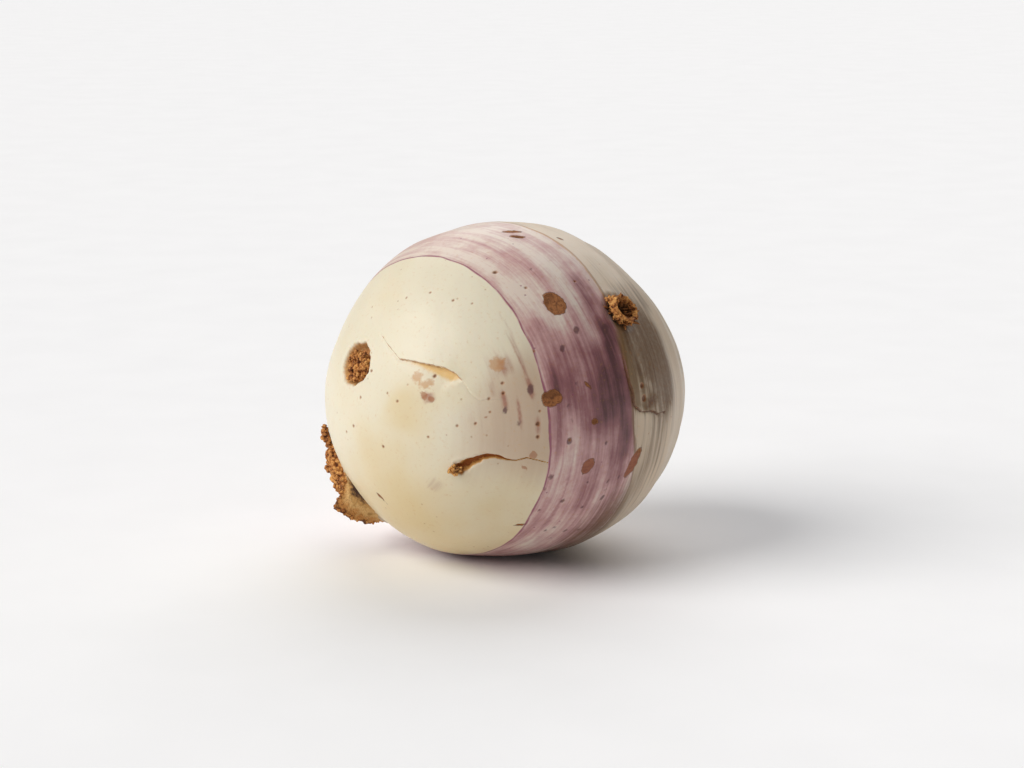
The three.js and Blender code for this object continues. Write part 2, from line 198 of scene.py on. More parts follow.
# Marks on the skin: across, up, half the length, half the width and the turn from across.
CORKY_SCARS = [
    (10.8, 18.1, 2.9, 2.3, 125),
    (10.1, -1.8, 2.3, 1.75, 10),
    (17.8, -16.2, 1.9, 1.25, 60),
    (27.9, -15.6, 3.9, 1.15, 72),
    (19.2, -6.8, 0.95, 0.8, 0),
    (17.7, 0.9, 0.9, 0.45, 140),
    (1.6, 34.3, 2.1, 0.75, 12),
    (2.9, 33.1, 1.5, 0.85, -8),
    (12.2, 32.9, 0.8, 0.5, 0),
    (-26.5, -23.5, 1.3, 0.42, -52),
    (3.3, -29.0, 1.45, 0.35, 12),
]
PORES = [
    (-1.8, 24.8, 0.62),
    (4.7, 21.5, 0.4),
    (15.2, 23.0, 0.4),
    (7.2, -7.2, 0.62),
    (7.2, -9.9, 0.5),
    (7.6, -4.5, 0.3),
    (-28.1, 3.9, 0.36),
    (-14.5, 2.8, 0.52),
    (-25.6, -12.2, 0.42),
    (-20.8, 19.6, 0.3),
    (-15.6, 20.6, 0.3),
    (-10.6, 18.8, 0.34),
    (-6.6, 18.1, 0.24),
    (-22.4, -2.5, 0.36),
    (-24.6, -0.8, 0.26),
    (-30.6, -1.7, 0.36),
    (-34.0, -9.2, 0.34),
    (-32.3, -7.9, 0.42),
    (-9.7, -7.6, 0.34),
    (-15.8, -10.0, 0.3),
    (-2.8, -4.7, 0.24),
    (-3.0, -1.9, 0.36),
    (13.9, -10.6, 0.36),
    (29.4, 0.8, 0.75),
    (29.9, -1.9, 0.95),
    (6.4, 8.0, 0.26),
    (-0.2, 1.3, 0.42),
    (0.0, -0.8, 0.45),
    (-5.8, -7.1, 0.36),
]
BAND_SPOTS = [
    (13.6, -3.5, 0.5),
    (14.4, -6.5, 0.5),
    (13.8, -10.7, 0.65),
    (21.7, -11.4, 0.35),
    (14.5, -15.1, 0.3),
    (15.8, -15.1, 0.26),
    (11.1, -16.6, 0.34),
    (24.6, -18.8, 0.36),
    (17.9, -19.7, 0.3),
    (22.3, -19.6, 0.45),
    (21.8, -21.4, 0.4),
    (12.6, -23.7, 0.55),
    (21.1, -23.2, 0.55),
    (16.8, -25.2, 0.5),
    (15.8, -27.2, 0.36),
    (11.0, -29.8, 0.4),
    (9.1, -30.5, 0.4),
    (13.4, -30.6, 0.55),
    (16.2, -30.5, 0.5),
    (7.6, -32.0, 0.36),
    (10.2, -32.4, 0.36),
    (10.0, -18.5, 0.6),
    (8.7, -21.0, 0.42),
    (7.5, -25.9, 0.36),
    (5.8, 25.4, 0.4),
    (12.3, 8.5, 0.7),
    (15.3, 12.5, 0.75),
    (21.6, 12.9, 1.0),
    (15.3, 1.1, 0.4),
    (5.6, 0.0, 0.85),
    (0.4, -4.4, 0.7),
    (3.2, -7.0, 0.6),
]
SCALY_PATCHES = [
    (31.6, -2.6, 3.7, 1.9, 12),
    (29.6, 1.2, 2.0, 1.0, 100),
]
TAN_PATCHES = [
    (-18.1, 2.8, 1.6, 1.15, 50),
    (-16.2, 1.1, 1.6, 1.2, 20),
    (-1.4, 5.4, 1.9, 1.6, 0),
]
RUST_PATCHES = [
    (-16.6, -1.4, 1.15, 0.95, 120),
    (-15.2, -2.0, 1.0, 0.7, 0),
    (6.2, -13.7, 1.0, 0.9, 40),
    (4.3, -16.4, 0.8, 0.45, 150),
    (-3.6, -5.8, 0.5, 0.35, 30),
]

# Soft stains, and in the grey table painted shade: ring turn, angle from the crown, half of each extent, all
# in degrees, and strength.
PINK_BLUSHES = [
    (60, 133.5, 8, 4.4, 0.5),
    (62, 131.0, 4, 2.6, 0.5),
    (84, 145.5, 5, 3.2, 0.5),
    (134, 152.5, 7, 3.4, 0.55),
    (63, 157.5, 4, 2.4, 1.0),
    (58, 158.5, 3, 2.0, 0.6),
    (76, 134.5, 5, 1.2, 1.0),
    (82, 130.6, 7, 0.8, 1.0),
    (62, 126.2, 13, 0.8, 0.9),
    (88, 125.2, 4, 1.0, 0.9),
    (74, 125.8, 4, 0.9, 1.0),
    (70, 137.5, 4, 1.0, 0.6),
    (46, 125.0, 8, 0.7, 0.5),
]
YELLOW_STAINS = [
    (64, 166.0, 32, 9.0, 0.5),
    (61, 149.0, 18, 8.0, 0.45),
]
MAUVE_STRIPES = [
    (46, 94.0, 7, 4.0, 0.35),
    (78, 94.3, 26, 3.2, 0.6),
    (80, 97.2, 14, 2.4, 0.35),
    (102, 98.0, 8, 3.0, 0.3),
    (18, 94.5, 34, 3.0, 0.16),
    (126, 95.0, 22, 3.4, 0.3),
    (78, 100.8, 15, 3.0, 0.62),
    (62, 93.6, 5, 2.4, 0.2),
    (98, 94.0, 6, 2.6, 0.15),
    (14, 100.3, 44, 1.7, -0.12),
    (46, 112.0, 14, 4.5, -0.2),
    (117, 100.8, 14, 1.5, -0.2),
    (20, 106.5, 34, 3.6, 0.14),
    (76, 106.8, 19, 4.2, 0.5),
    (112, 107.0, 14, 3.2, 0.12),
    (70, 113.2, 17, 2.4, 0.42),
    (84, 118.4, 17, 2.0, 0.42),
    (66, 117.4, 18, 2.8, 0.34),
    (120, 113.4, 16, 0.8, 0.35),
    (140, 117.0, 18, 1.7, 0.35),
    (140, 101.0, 16, 5.0, 0.15),
    (165, 108.0, 20, 8.0, 0.2),
    (118, 102.0, 30, 9.0, 0.14),
    (200, 112.0, 30, 4.0, 0.3),
    (250, 98.0, 40, 4.0, 0.35),
    (270, 108.0, 50, 5.0, 0.28),
    (305, 102.0, 30, 4.0, 0.25),
]
RUDDY_STAINS_AND_SHADE = [
    (86, 125.0, 28, 11.0, 0.85),
    (84, 137.0, 24, 8.0, 0.4),
    # Partly painted shade: this row darkens the front below the middle.
    (98, 146.0, 26, 9.0, 0.42),
    (60, 116.0, 40, 6.0, 0.3),
]
OLIVE_STAINS = [
    (80, 86.0, 8, 4.0, 0.9),
    (75, 90.2, 13, 2.2, 1.0),
    (87, 84.0, 5, 4.6, 0.8),
    (58, 86.5, 6, 3.0, 0.7),
    (64, 88.0, 7, 3.0, 0.6),
]
# Painted shade, with the real brown stain under the side root: grey-brown that darkens the shoulder and the
# lower right, where the light falls off.
GREY_STAINS_AND_PAINTED_SHADE = [
    (50, 66.0, 8, 6.0, 0.5),
    (56, 78.0, 12, 5.0, 0.55),
    (76, 71.0, 16, 5.0, 0.42),
    (66, 83.0, 13, 5.0, 0.85),
    (70, 86.8, 9, 2.4, 0.7),
    (74, 74.0, 18, 7.0, 0.3),
    (60, 84.0, 9, 3.0, 0.5),
    (80, 74.0, 34, 12.0, 0.5),
    (100, 82.0, 30, 9.0, 0.35),
    (145, 92.0, 32, 11.0, 1.0),
]


def linear(hex_colour):
    """An sRGB hex colour as linear red, green and blue."""
    channels = [int(hex_colour[i : i + 2], 16) / 255 for i in (1, 3, 5)]
    return tuple(c / 12.92 if c <= 0.04045 else ((c + 0.055) / 1.055) ** 2.4 for c in channels)


def colour(name, description, hex_colour):
    return bpy.props.FloatVectorProperty(
        name=name, description=description, subtype="COLOR", min=0, max=1, default=linear(hex_colour)
    )


def size(name, description, millimetres):
    return bpy.props.FloatProperty(
        name=name, description=description, subtype="DISTANCE", unit="LENGTH", default=millimetres * MM
    )


class TurnipSkinLooks(bpy.types.PropertyGroup):
    cream: colour("Cream", "The bare skin of the root's pale side", "#E4DBC4")
    yellow: colour("Yellowed cream", "The pale skin low down and near the tap root", "#DCC698")
    pale_band: colour("Pale band", "The palest skin inside the purple band", "#DFCFC2")
    pink_band: colour("Pink band", "The band's skin where the purple is thin", "#C49B98")
    mauve: colour("Mauve", "The band's usual purple", "#936265")
    deep_mauve: colour("Deep mauve", "The darkest streaks of the band", "#603D40")
    band_line: colour("Band line", "The thin dark line along the band's edge", "#8C4760")
    shoulder: colour("Shoulder", "The greyish skin between the band and the crown", "#DCC8AE")
    shoulder_streak: colour("Shoulder streak", "The brown streaks that circle the crown", "#7A5E3D")
    crown: colour("Crown", "The corky skin round the leaf stalks", "#8C6E42")
    blush: colour("Blush", "Red-brown streaks in the cream", "#9E6252")
    # Also the tone of the painted shade low on the front.
    ruddy: colour("Ruddy cream", "The pale skin that reddens towards the band", "#B28B70")
    # Painted shade as well as the real stain under the side root: the grey-brown over the shoulder and the
    # lower right.
    dirt: colour("Dirt and shade", "The brown stain under the side root", "#65472A")
    tan: colour("Tan", "Thin dried skin", "#C08A55")
    scar: colour("Scar", "Cork that has healed over a wound", "#A66A3A")
    dark_scar: colour("Dark scar", "The darker grains of that cork", "#63391B")
    lip_flesh: colour("Lip flesh", "Flesh under a lifted edge of skin, dried pale", "#DDB266")
    flesh: colour("Dried flesh", "Flesh laid bare by a split and dried", "#CF9A55")
    # Darker dried flesh together with painted shade towards the bottom of the split and the pit.
    deep_flesh_and_shade: colour("Deep flesh", "The bottom of a split", "#96531F")
    pore_size: size("Pore size", "Radius of the smallest pores", 0.2)
    pore_spacing: size("Pore spacing", "Distance between the smallest pores", 2.7)


class TurnipSoilLooks(bpy.types.PropertyGroup):
    golden: colour("Golden soil", "The lightest crumbs", "#DFA65F")
    brown: colour("Brown soil", "The usual crumbs", "#B07038")
    dark: colour("Dark soil", "The crumbs in the gaps", "#562A11")
    pale: colour("Pale soil", "The usual crumbs where the soil is sandy", "#C08A48")
    crumb_radius: size("Crumb radius", "Usual radius of a crumb on the tap root", 0.55)
    crumb_spacing: size("Crumb spacing", "Least distance between two crumbs on the tap root", 0.62)


class TurnipCrownLooks(bpy.types.PropertyGroup):
    stalk: colour("Stalk", "The skin of a cut leaf stalk", "#B7B07A")
    cut_end: colour("Cut end", "The dried end of a cut leaf stalk", "#8B6A3E")
    stalk_length: size("Stalk length", "How far the cut stalks stand out of the crown", 2.2)


def closed_spline(values, share):
    """A uniform cubic spline through values that are spread round a circle, at a share of a turn."""
    t = (share % 1.0) * len(values)
    i = np.floor(t).astype(int)
    f = t - i
    weights = [(1 - f) ** 3, 3 * f**3 - 6 * f**2 + 4, -3 * f**3 + 3 * f**2 + 3 * f + 1, f**3]
    return sum(w / 6 * values[(i + k - 1) % len(values)] for k, w in enumerate(weights))


def bump(x, centre, reach):
    return np.exp(-(((x - centre) / reach) ** 2))


def smooth(x, low, high):
    """0 below low, 1 above high, and a smooth rise between them."""
    t = np.clip((x - low) / (high - low), 0, 1)
    return t * t * (3 - 2 * t)


def turns(count):
    return np.arange(count) * 2 * np.pi / count


def from_crown(directions):
    return np.degrees(np.arccos(np.clip(directions @ CROWN, -1, 1)))


def root_radius(directions):
    """The root's radius in millimetres along unit directions from its centre."""
    toward = directions @ TOWARD
    share = np.arctan2(directions @ UP, directions @ ACROSS) / (2 * np.pi)
    depth = np.where(toward > 0, FRONT_RADIUS, BACK_RADIUS)
    angle = from_crown(directions)
    relief = 0
    for proud, at, wide in [CROWN_KNOB, CROWN_HOLLOW, *RING_LEDGES]:
        relief = relief + proud * bump(angle, at, wide)
    return closed_spline(OUTLINE_RADII, share) * (1 - toward**2) + depth * toward**2 + relief


def on_skin(directions):
    return directions * root_radius(directions)[..., None]


def front_direction(across, up):
    """The direction of a place on the front. A few passes settle how far towards the viewer it is."""
    radius = FRONT_RADIUS
    for _ in range(8):
        toward = math.sqrt(max(radius**2 - across**2 - up**2, 1.0))
        direction = unit(across * ACROSS + up * UP + toward * TOWARD)
        radius = float(root_radius(direction[None])[0])
    return direction


class Seat:
    """A place on the skin with its own axes: u along a given direction, v across it, out outwards."""

    def __init__(self, out, along):
        self.out = out
        self.u = unit(along - out * (along @ out))
        self.v = np.cross(out, self.u)
        self.start = on_skin(out[None])[0]

    def at(self, du, dv, height):
        """Points in millimetres from the centre, given along, across and above the skin."""
        du, dv, height = np.broadcast_arrays(du, dv, height)
        directions = unit(self.start + du[..., None] * self.u + dv[..., None] * self.v)
        return directions * (root_radius(directions) + height)[..., None]

    def around(self, turn, reach, height):
        """A point at a turn round the middle and a reach from it."""
        return self.at(reach * math.cos(turn), reach * math.sin(turn), height)

    def local(self, points):
        """How far along and across points lie, and a large distance for points on the far side."""
        offset = points - self.start
        far = np.where(points @ self.out > 0, 0.0, 1e3)
        return offset @ self.u + far, offset @ self.v


def outline_seat(angle, behind):
    side = math.cos(angle) * ACROSS + math.sin(angle) * UP
    out = math.cos(behind) * side - math.sin(behind) * TOWARD
    return Seat(out, -math.sin(angle) * ACROSS + math.cos(angle) * UP)


PIT_SEAT = Seat(front_direction(PIT["across"], PIT["up"]), UP)
SIDE_SEAT = Seat(front_direction(SIDE_ROOT["across"], SIDE_ROOT["up"]), CROWN)
TAP_SEAT = outline_seat(TAP_ROOT["angle"], TAP_ROOT["behind"])
CROWN_SEAT = Seat(CROWN, np.array([0.0, 0.0, 1.0]))


def lumps(points, length, octaves, shift):
    """Smooth noise between about -1 and 1 whose lumps are of the given length in millimetres."""
    scaled = points / length + shift
    return np.array([noise.fractal(Vector(p), 1.0, 2.0, octaves) for p in scaled])


class Split:
    """A split of the skin along its stations. Its side is positive above the line."""

    def __init__(self, stations):
        self.stations = np.array(stations)
        self.places = np.array([on_skin(front_direction(s[0], s[1])[None])[0] for s in stations])

    def measure(self, points):
        """For each point: signed distance from the line, half the width and the depth there."""
        best = np.full(len(points), 1e3)
        side = np.full(len(points), 1e3)
        half = np.full(len(points), 0.01)
        deep = np.zeros(len(points))
        for a, b, first, second in zip(self.places, self.places[1:], self.stations, self.stations[1:]):
            run = b - a
            t = np.clip(((points - a) @ run) / (run @ run), 0, 1)
            offset = points - (a + t[:, None] * run)
            distance = np.linalg.norm(offset, axis=1)
            nearer = distance < best
            above = np.sign(offset @ np.cross(unit(a + b), run))
            best = np.where(nearer, distance, best)
            side = np.where(nearer, distance * above, side)
            half = np.where(nearer, first[2] + t * (second[2] - first[2]), half)
            deep = np.where(nearer, first[3] + t * (second[3] - first[3]), deep)
        return side, half, deep


CRACK_SPLIT = Split(CRACK)
LIP_SPLIT = Split(SKIN_LIP)
TEAR_SPLIT = Split(SKIN_TEAR)


def mark_depth(points, marks):
    """How far inside the nearest of some oval marks each point lies, in millimetres."""
    deepest = np.full(len(points), -9.0)
    for across, up, half_long, half_wide, turn in marks:
        along = math.cos(math.radians(turn)) * ACROSS + math.sin(math.radians(turn)) * UP
        du, dv = Seat(front_direction(across, up), along).local(points)
        share = np.hypot(du / half_long, dv / half_wide)
        deepest = np.maximum(deepest, (1 - share) * half_wide)
    return deepest


def stain(marks, stains):
    """How strong some soft stains and patches of painted shade are at each point. They are long along the
    rings and soft across.
    """
    strength = np.zeros(len(marks["turn"]))
    for turn, angle, half_turn, half_angle, strong in stains:
        along = (marks["turn"] - turn + 180) % 360 - 180
        across = marks["angle"] - angle
        strength += strong * np.exp(-((along / half_turn) ** 4) - (across / half_angle) ** 2)
    return strength


def band_edge(turn):
    """The purple band's edge: its angle from the crown at each ring turn, both in degrees."""
    return 120.4 + 1.6 * bump(turn, 74, 42) - 3.6 * bump(turn, 168, 26) + 0.8 * bump(turn, -60, 40)


def shoulder_edge(turn):
    """The tan line between the band and the shoulder, in degrees from the crown."""
    return 88.0 + 4.2 * bump(turn, 84, 22) - 1.2 * bump(turn, 35, 15) + 1.5 * bump(turn, 170, 40)


def skin_marks(directions):
    """What is on the skin along each direction: distances in millimetres and strengths."""
    points = on_skin(directions)
    turn = np.degrees(np.arctan2(directions @ RING_FRONT, directions @ RING_TOP))
    angle = from_crown(directions)
    du, dv = PIT_SEAT.local(points)
    pit_share = np.hypot(du / PIT["half_high"], dv / PIT["half_wide"])
    along, across = SIDE_SEAT.local(points)
    tap_u, tap_v = TAP_SEAT.local(points)
    marks = {
        "points": points,
        "turn": turn,
        "angle": angle,
        "pit": (1 - pit_share) * PIT["half_high"],
        "side_root": SIDE_ROOT["dimple"] - np.hypot(along, across),
        "tap_share": np.hypot(tap_u / TAP_ROOT["along"], tap_v / TAP_ROOT["deep"]),
        "scar": mark_depth(points, CORKY_SCARS),
        "pore": mark_depth(points, [(a, u, 0.85 * r, 0.75 * r, 40) for a, u, r in PORES]),
        "spot": mark_depth(points, [(a, u, 1.2 * r, 0.8 * r, 75) for a, u, r in BAND_SPOTS]),
        "scaly": mark_depth(points, SCALY_PATCHES),
        "tan": mark_depth(points, TAN_PATCHES),
        "rust": mark_depth(points, RUST_PATCHES),
        "band": (band_edge(turn) - angle) * ARC_MM,
        "shoulder": (shoulder_edge(turn) - angle) * ARC_MM,
    }
    for name, split in [("crack", CRACK_SPLIT), ("lip", LIP_SPLIT), ("tear", TEAR_SPLIT)]:
        marks[name], marks[name + "_half"], marks[name + "_deep"] = split.measure(points)
    return marks


def needs_detail(marks, reach):
    """Where the mesh is split finer: near the rims of the pit, the splits and the marks."""
    near = np.abs(marks["pit"]) < reach * 1.4
    near |= (marks["side_root"] > -reach) & (marks["side_root"] < 3.4)
    near |= (marks["tap_share"] > 0.72) & (marks["tap_share"] < 1.0 + 0.22 * reach)
    near |= np.abs(marks["crack"]) < marks["crack_half"] + reach
    near |= np.abs(marks["lip"]) < 0.35 + reach
    near |= np.abs(marks["tear"]) < 0.3 + reach
    for name in ["scar", "pore", "rust"]:
        near |= np.abs(marks[name]) < 0.75 * reach
    return near


def split_triangles(directions, faces, chosen):
    """Splits each chosen triangle in four, and its neighbours so that no edge is left open."""
    edges = np.sort(np.concatenate([faces[:, [0, 1]], faces[:, [1, 2]], faces[:, [2, 0]]]), axis=1)
    unique, index = np.unique(edges, axis=0, return_inverse=True)
    edge_of = index.reshape(3, -1).T
    cut = np.zeros(len(unique), bool)
    cut[edge_of[chosen]] = True
    middle_of = np.full(len(unique), -1)
    middle_of[cut] = len(directions) + np.arange(cut.sum())
    directions = np.concatenate([directions, unit(directions[unique[cut]].mean(axis=1))])
    middles = middle_of[edge_of]
    cuts = (middles >= 0).sum(axis=1)

    def turned(rows, first):
        order = (np.arange(3) + first[:, None]) % 3
        return np.take_along_axis(faces[rows], order, 1).T, np.take_along_axis(middles[rows], order, 1).T

    kept = [faces[cuts == 0]]
    rows = np.flatnonzero(cuts == 3)
    (a, b, c), (ab, bc, ca) = turned(rows, np.zeros(len(rows), int))
    kept += [np.stack(t, 1) for t in [(a, ab, ca), (ab, b, bc), (ca, bc, c), (ab, bc, ca)]]
    rows = np.flatnonzero(cuts == 1)
    (a, b, c), (ab, _, _) = turned(rows, np.argmax(middles[rows] >= 0, axis=1))
    kept += [np.stack(t, 1) for t in [(a, ab, c), (ab, b, c)]]
    rows = np.flatnonzero(cuts == 2)
    (a, b, c), (ab, bc, _) = turned(rows, np.argmin(middles[rows] >= 0, axis=1) + 1)
    kept += [np.stack(t, 1) for t in [(ab, b, bc), (a, ab, bc), (a, bc, c)]]
    return directions, np.concatenate(kept)


def ragged_edges(marks):
    """How far inside each kind of mark each point lies, with the mark's edge made ragged."""
    ragged = lumps(marks["points"], 1.7, 2, 23.0)
    edges = {name: marks[name] + wander * ragged for name, wander in RAGGED.items()}
    edges["crack"] = marks["crack_half"] * (1 + CRACK_RAGGED * ragged) - np.abs(marks["crack"])
    return edges


def swell(x, height, centre, reach):
    return height * bump(x, centre, reach)


def lifted(distance, height, reach):
    """A height that fades with the distance from an edge."""
    return height * np.exp(-np.clip(distance, 0, None) / reach)


def skin_heights(marks, edges):
    """How far the skin stands above the bare root, in millimetres."""
    points = marks["points"]
    height = LUMPS * lumps(points, 9.0, 2, 3.0) - SKIN_UNDER_SOLID

    height -= PIT["deep"] * smooth(edges["pit"], 0, PIT["slope"])
    height += swell(edges["pit"], *PIT_SWELL)

    crack = edges["crack"]
    open_share = crack / np.maximum(marks["crack_half"], 0.01)
    height -= marks["crack_deep"] * smooth(open_share, 0, 0.55)
    for side, swelling in CRACK_SWELLS.items():
        on_side = np.sign(marks["crack"]) == side
        height += on_side * marks["crack_half"] * swell(crack, swelling, *CRACK_SWELL_AT)

    lip = edges["lip"]
    above = smooth(lip, -0.06, 0.06)
    height += marks["lip_deep"] * above * lifted(lip, *LIP_LIFT)
    below = (1 - above) * np.exp(-((np.clip(-lip, 0, None) / (marks["lip_half"] + 0.15)) ** 2) / 1.6)
    height -= LIP_SUNK * marks["lip_deep"] * below

    tear = edges["tear"]
    inside = smooth(tear, -0.08, 0.08)
    height += marks["tear_deep"] * inside * lifted(tear, *TEAR_LIFT)
    height -= marks["tear_deep"] * (1 - inside) * lifted(-tear, *TEAR_SUNK)

    scar = edges["scar"]
    height += swell(scar, *SCAR_SWELL) - SCAR_SUNK * smooth(scar, 0, 0.3)
    height += SCAR_GRAIN * lumps(points, 0.9, 3, 11.0) * smooth(scar, 0.1, 0.4)
    height -= PORE_DEEP * smooth(marks["pore"], -0.1, 0.3)

    height -= SIDE_ROOT["deep"] * smooth(marks["side_root"], -1.0, 2.2)
    height += swell(marks["side_root"], *SIDE_ROOT_SWELL)
    tap = marks["tap_share"]
    height += swell(tap, *NECK_SWELL) - NECK_BOWL * smooth(-tap, -0.86, -0.74)
    return height


def rgba(rgb):
    return (*rgb, 1.0)


def add(tree, kind, links=(), values=(), stops=(), **settings):
    """Adds a node with its settings, the values of its inputs, a ramp's stops and the links into it."""
    node = tree.nodes.new(kind)
    for name, value in settings.items():
        setattr(node, name, value)
    for socket, value in dict(values).items():
        node.inputs[socket].default_value = value
    for socket, source in dict(links).items():
        output = source if isinstance(source, bpy.types.NodeSocket) else source.outputs[0]
        tree.links.new(output, node.inputs[socket])
    if stops:
        elements = node.color_ramp.elements
        elements.remove(elements[1])
        elements[0].position, elements[0].color = stops[0][0], rgba(stops[0][1])
        for place, tone in stops[1:]:
            elements.new(place).color = rgba(tone)
    return node


def new_material(name, roughness, ior, values=()):
    """A material with one surface shader. Returns it with its node tree and that shader."""
    material = bpy.data.materials.new(name)
    material.use_nodes = True
    tree = material.node_tree
    tree.nodes.clear()
    finish = {"Roughness": roughness, "IOR": ior, **dict(values)}
    shader = add(tree, "ShaderNodeBsdfPrincipled", values=finish)
    add(tree, "ShaderNodeOutputMaterial", links={"Surface": shader})
    return material, tree, shader


def weigh(tree, parts):
    """The sum of some sources, each times its share."""
    total = None
    for source, share in parts:
        links = {0: source} if total is None else {0: source, 2: total}
        values = {1: share, 2: 0.0}
        total = add(tree, "ShaderNodeMath", links=links, values=values, operation="MULTIPLY_ADD")
    return total


# The skin's patterns: what each follows, the size of its cells in millimetres (along the rings
# twice and then across them, for those that follow the rings), its detail and its roughness.
PATTERNS = {
    "broad": ("place", (16.0, 16.0, 16.0), 2.0, 0.5),
    "blotch": ("place", (5.0, 5.0, 5.0), 3.0, 0.5),
    "grain": ("place", (0.8, 0.8, 0.8), 3.0, 0.6),
    "speckle": ("place", (0.35, 0.35, 0.35), 2.0, 0.6),
    "broad_streak": ("rings", (26.0, 26.0, 2.2), 2.0, 0.5),
    "streak": ("rings", (16.0, 16.0, 0.9), 3.0, 0.6),
    "fine_streak": ("rings", (9.0, 9.0, 0.4), 3.0, 0.65),
}

# How much each pattern deepens or thins the purple.
BAND_STREAKS = {"broad_streak": 0.8, "streak": 0.55, "fine_streak": 0.3, "blotch": 0.55, "grain": 0.2}
BAND_TONES = [(0.0, "pale_band"), (0.33, "pink_band"), (0.68, "mauve"), (1.0, "deep_mauve")]

# The film's shine: its usual roughness, what its blotches add and what dried flesh adds.
SMOOTHEST = 0.32
BLOTCH_DULLS = 0.2
DRY_DULLS = 0.4

# The smallest pores: the share of cells without one, and where one starts and ends by its radius.
CELLS_WITHOUT = 0.53
PORE_FADE = (1.5, 0.7)

# The skin's coats of colour, the lowest first. Each lies where its attribute, made uneven by a
# share of a pattern, passes from the first limit to the second, and is that strong there.
COATS = [
    ("yellow", "low_down", "broad", 1.2, -0.05, 1.15, 1.0),
    ("ruddy", "ruddy", "streak", 0.2, 0.05, 1.0, 0.62),
    ("blush", "blush", "streak", 1.0, 0.2, 1.1, 0.6),
    ("blush", "blush", "grain", 1.4, 0.6, 1.2, 0.45),
    ("pink_band", "band", "fine_streak", 0.5, -0.05, 0.2, 1.0),
    ("band_line", "band", "blotch", 1.0, 0.0, 0.25, 0.85),
    ("band", "band", "fine_streak", 0.9, 0.3, 0.7, 1.0),
    ("deep_mauve", "spot", "grain", 0.4, -0.2, 0.15, 0.8),
    ("shoulder_streak", "shoulder", "broad_streak", 1.0, -0.35, 0.1, 0.75),
    ("shoulder", "shoulder", "streak", 1.6, 0.15, 0.8, 0.97),
    ("tan", "tan_line", "broad_streak", 0.8, 0.2, 0.9, 0.8),
    ("shoulder_streak", "on_shoulder", "streak", 1.0, 1.02, 1.26, 0.22),
    ("shoulder_streak", "on_shoulder", "fine_streak", 1.0, 1.05, 1.2, 0.16),
    ("shoulder_streak", "on_shoulder", "broad", 1.0, 0.95, 1.3, 0.28),
    ("crown", "crown", "streak", 0.9, 0.25, 1.0, 0.85),
    ("shoulder_streak", "crown", "grain", 1.0, 0.8, 1.2, 0.5),
    ("shoulder_streak", "olive", "streak", 1.4, 0.35, 1.1, 0.85),
    # Painted shade and the stain under the side root, from the grey table.
    ("dirt", "dirt", "streak", 1.1, 0.25, 1.15, 0.8),
    ("dark_scar", "dirt", "grain", 1.4, 0.75, 1.3, 0.4),
    ("shoulder_streak", "scaly", "grain", 1.6, -0.4, 0.7, 0.7),
    ("dark_scar", "scaly", "grain", 3.0, 0.6, 1.7, 0.85),
    ("tan", "tan", "grain", 1.6, -0.2, 0.6, 0.62),
    ("blush", "rust", "grain", 0.9, 0.0, 0.3, 0.35),
    ("scar", "rust", "grain", 0.9, 0.0, 0.3, 0.5),
    ("lip_flesh", "lip_low", "grain", 0.5, 0.1, 1.2, 0.95),
    # A tan-brown line along the lifted edge of skin: the edge's own colour and painted shade under its step.
    ("scar", "lip_line", "grain", 1.2, 0.25, 1.0, 0.75),
    # Painted shade in the crease round the foot of the tap root's neck.
    ("dark_scar", "tap_line", "grain", 1.0, 0.25, 1.1, 0.6),
    # Painted shadow: a dark line along the foot of the lifted flap at the tear.
    ("dark_scar", "tear_line", "grain", 0.8, 0.1, 0.9, 0.9),
    # The split and the pit: dried flesh at their rims, then darker dried flesh and painted shade towards
    # their bottoms.
    ("flesh", "crack_depth", "grain", 0.3, 0.02, 0.25, 1.0),
    ("deep_flesh_and_shade", "crack_depth", "grain", 0.9, 0.2, 0.7, 1.0),
    ("flesh", "pit_depth", "grain", 0.3, 0.0, 0.3, 0.9),
    ("deep_flesh_and_shade", "pit_depth", "grain", 0.6, 0.7, 1.1, 0.8),
    ("dark_scar", "scar", "grain", 0.7, -0.12, 0.06, 0.8),
    ("scar", "scar", "grain", 0.7, 0.0, 0.22, 0.92),
    ("dark_scar", "in_scar", "blotch", 1.0, 0.95, 1.12, 0.6),
    ("dark_scar", "in_scar", "grain", 1.0, 0.92, 1.16, 0.8),
    ("blush", "red_scar", "grain", 0.6, 0.2, 0.9, 0.65),
    ("scar", "pore", "grain", 0.25, -0.22, 0.1, 0.65),
    ("dark_scar", "pore", "grain", 0.25, 0.0, 0.25, 0.75),
    # Dark cork and painted shade in the side root's bore.
    ("dark_scar", "side_hole", "grain", 0.5, -0.3, 0.4, 0.97),
    ("scar", "off_band", "tiny_pores", 1.0, 0.6, 1.4, 0.4),
    ("band_line", "on_band", "tiny_pores", 1.0, 0.6, 1.4, 0.6),
]

# Relief too fine for the mesh: the pattern, its height in millimetres and where it is.
RELIEF = [
    ("streak", 0.02, "on_shoulder"),
    ("streak", 0.03, "on_band"),
    ("fine_streak", 0.015, "on_band"),
    ("fine_streak", 0.02, "on_shoulder"),
    ("blotch", 0.1, None),
    ("grain", 0.012, None),
    ("grain", 0.22, "dry"),
    ("speckle", 0.004, None),
    ("speckle", 0.07, "dry"),
    ("tiny_pores", -0.05, None),
]


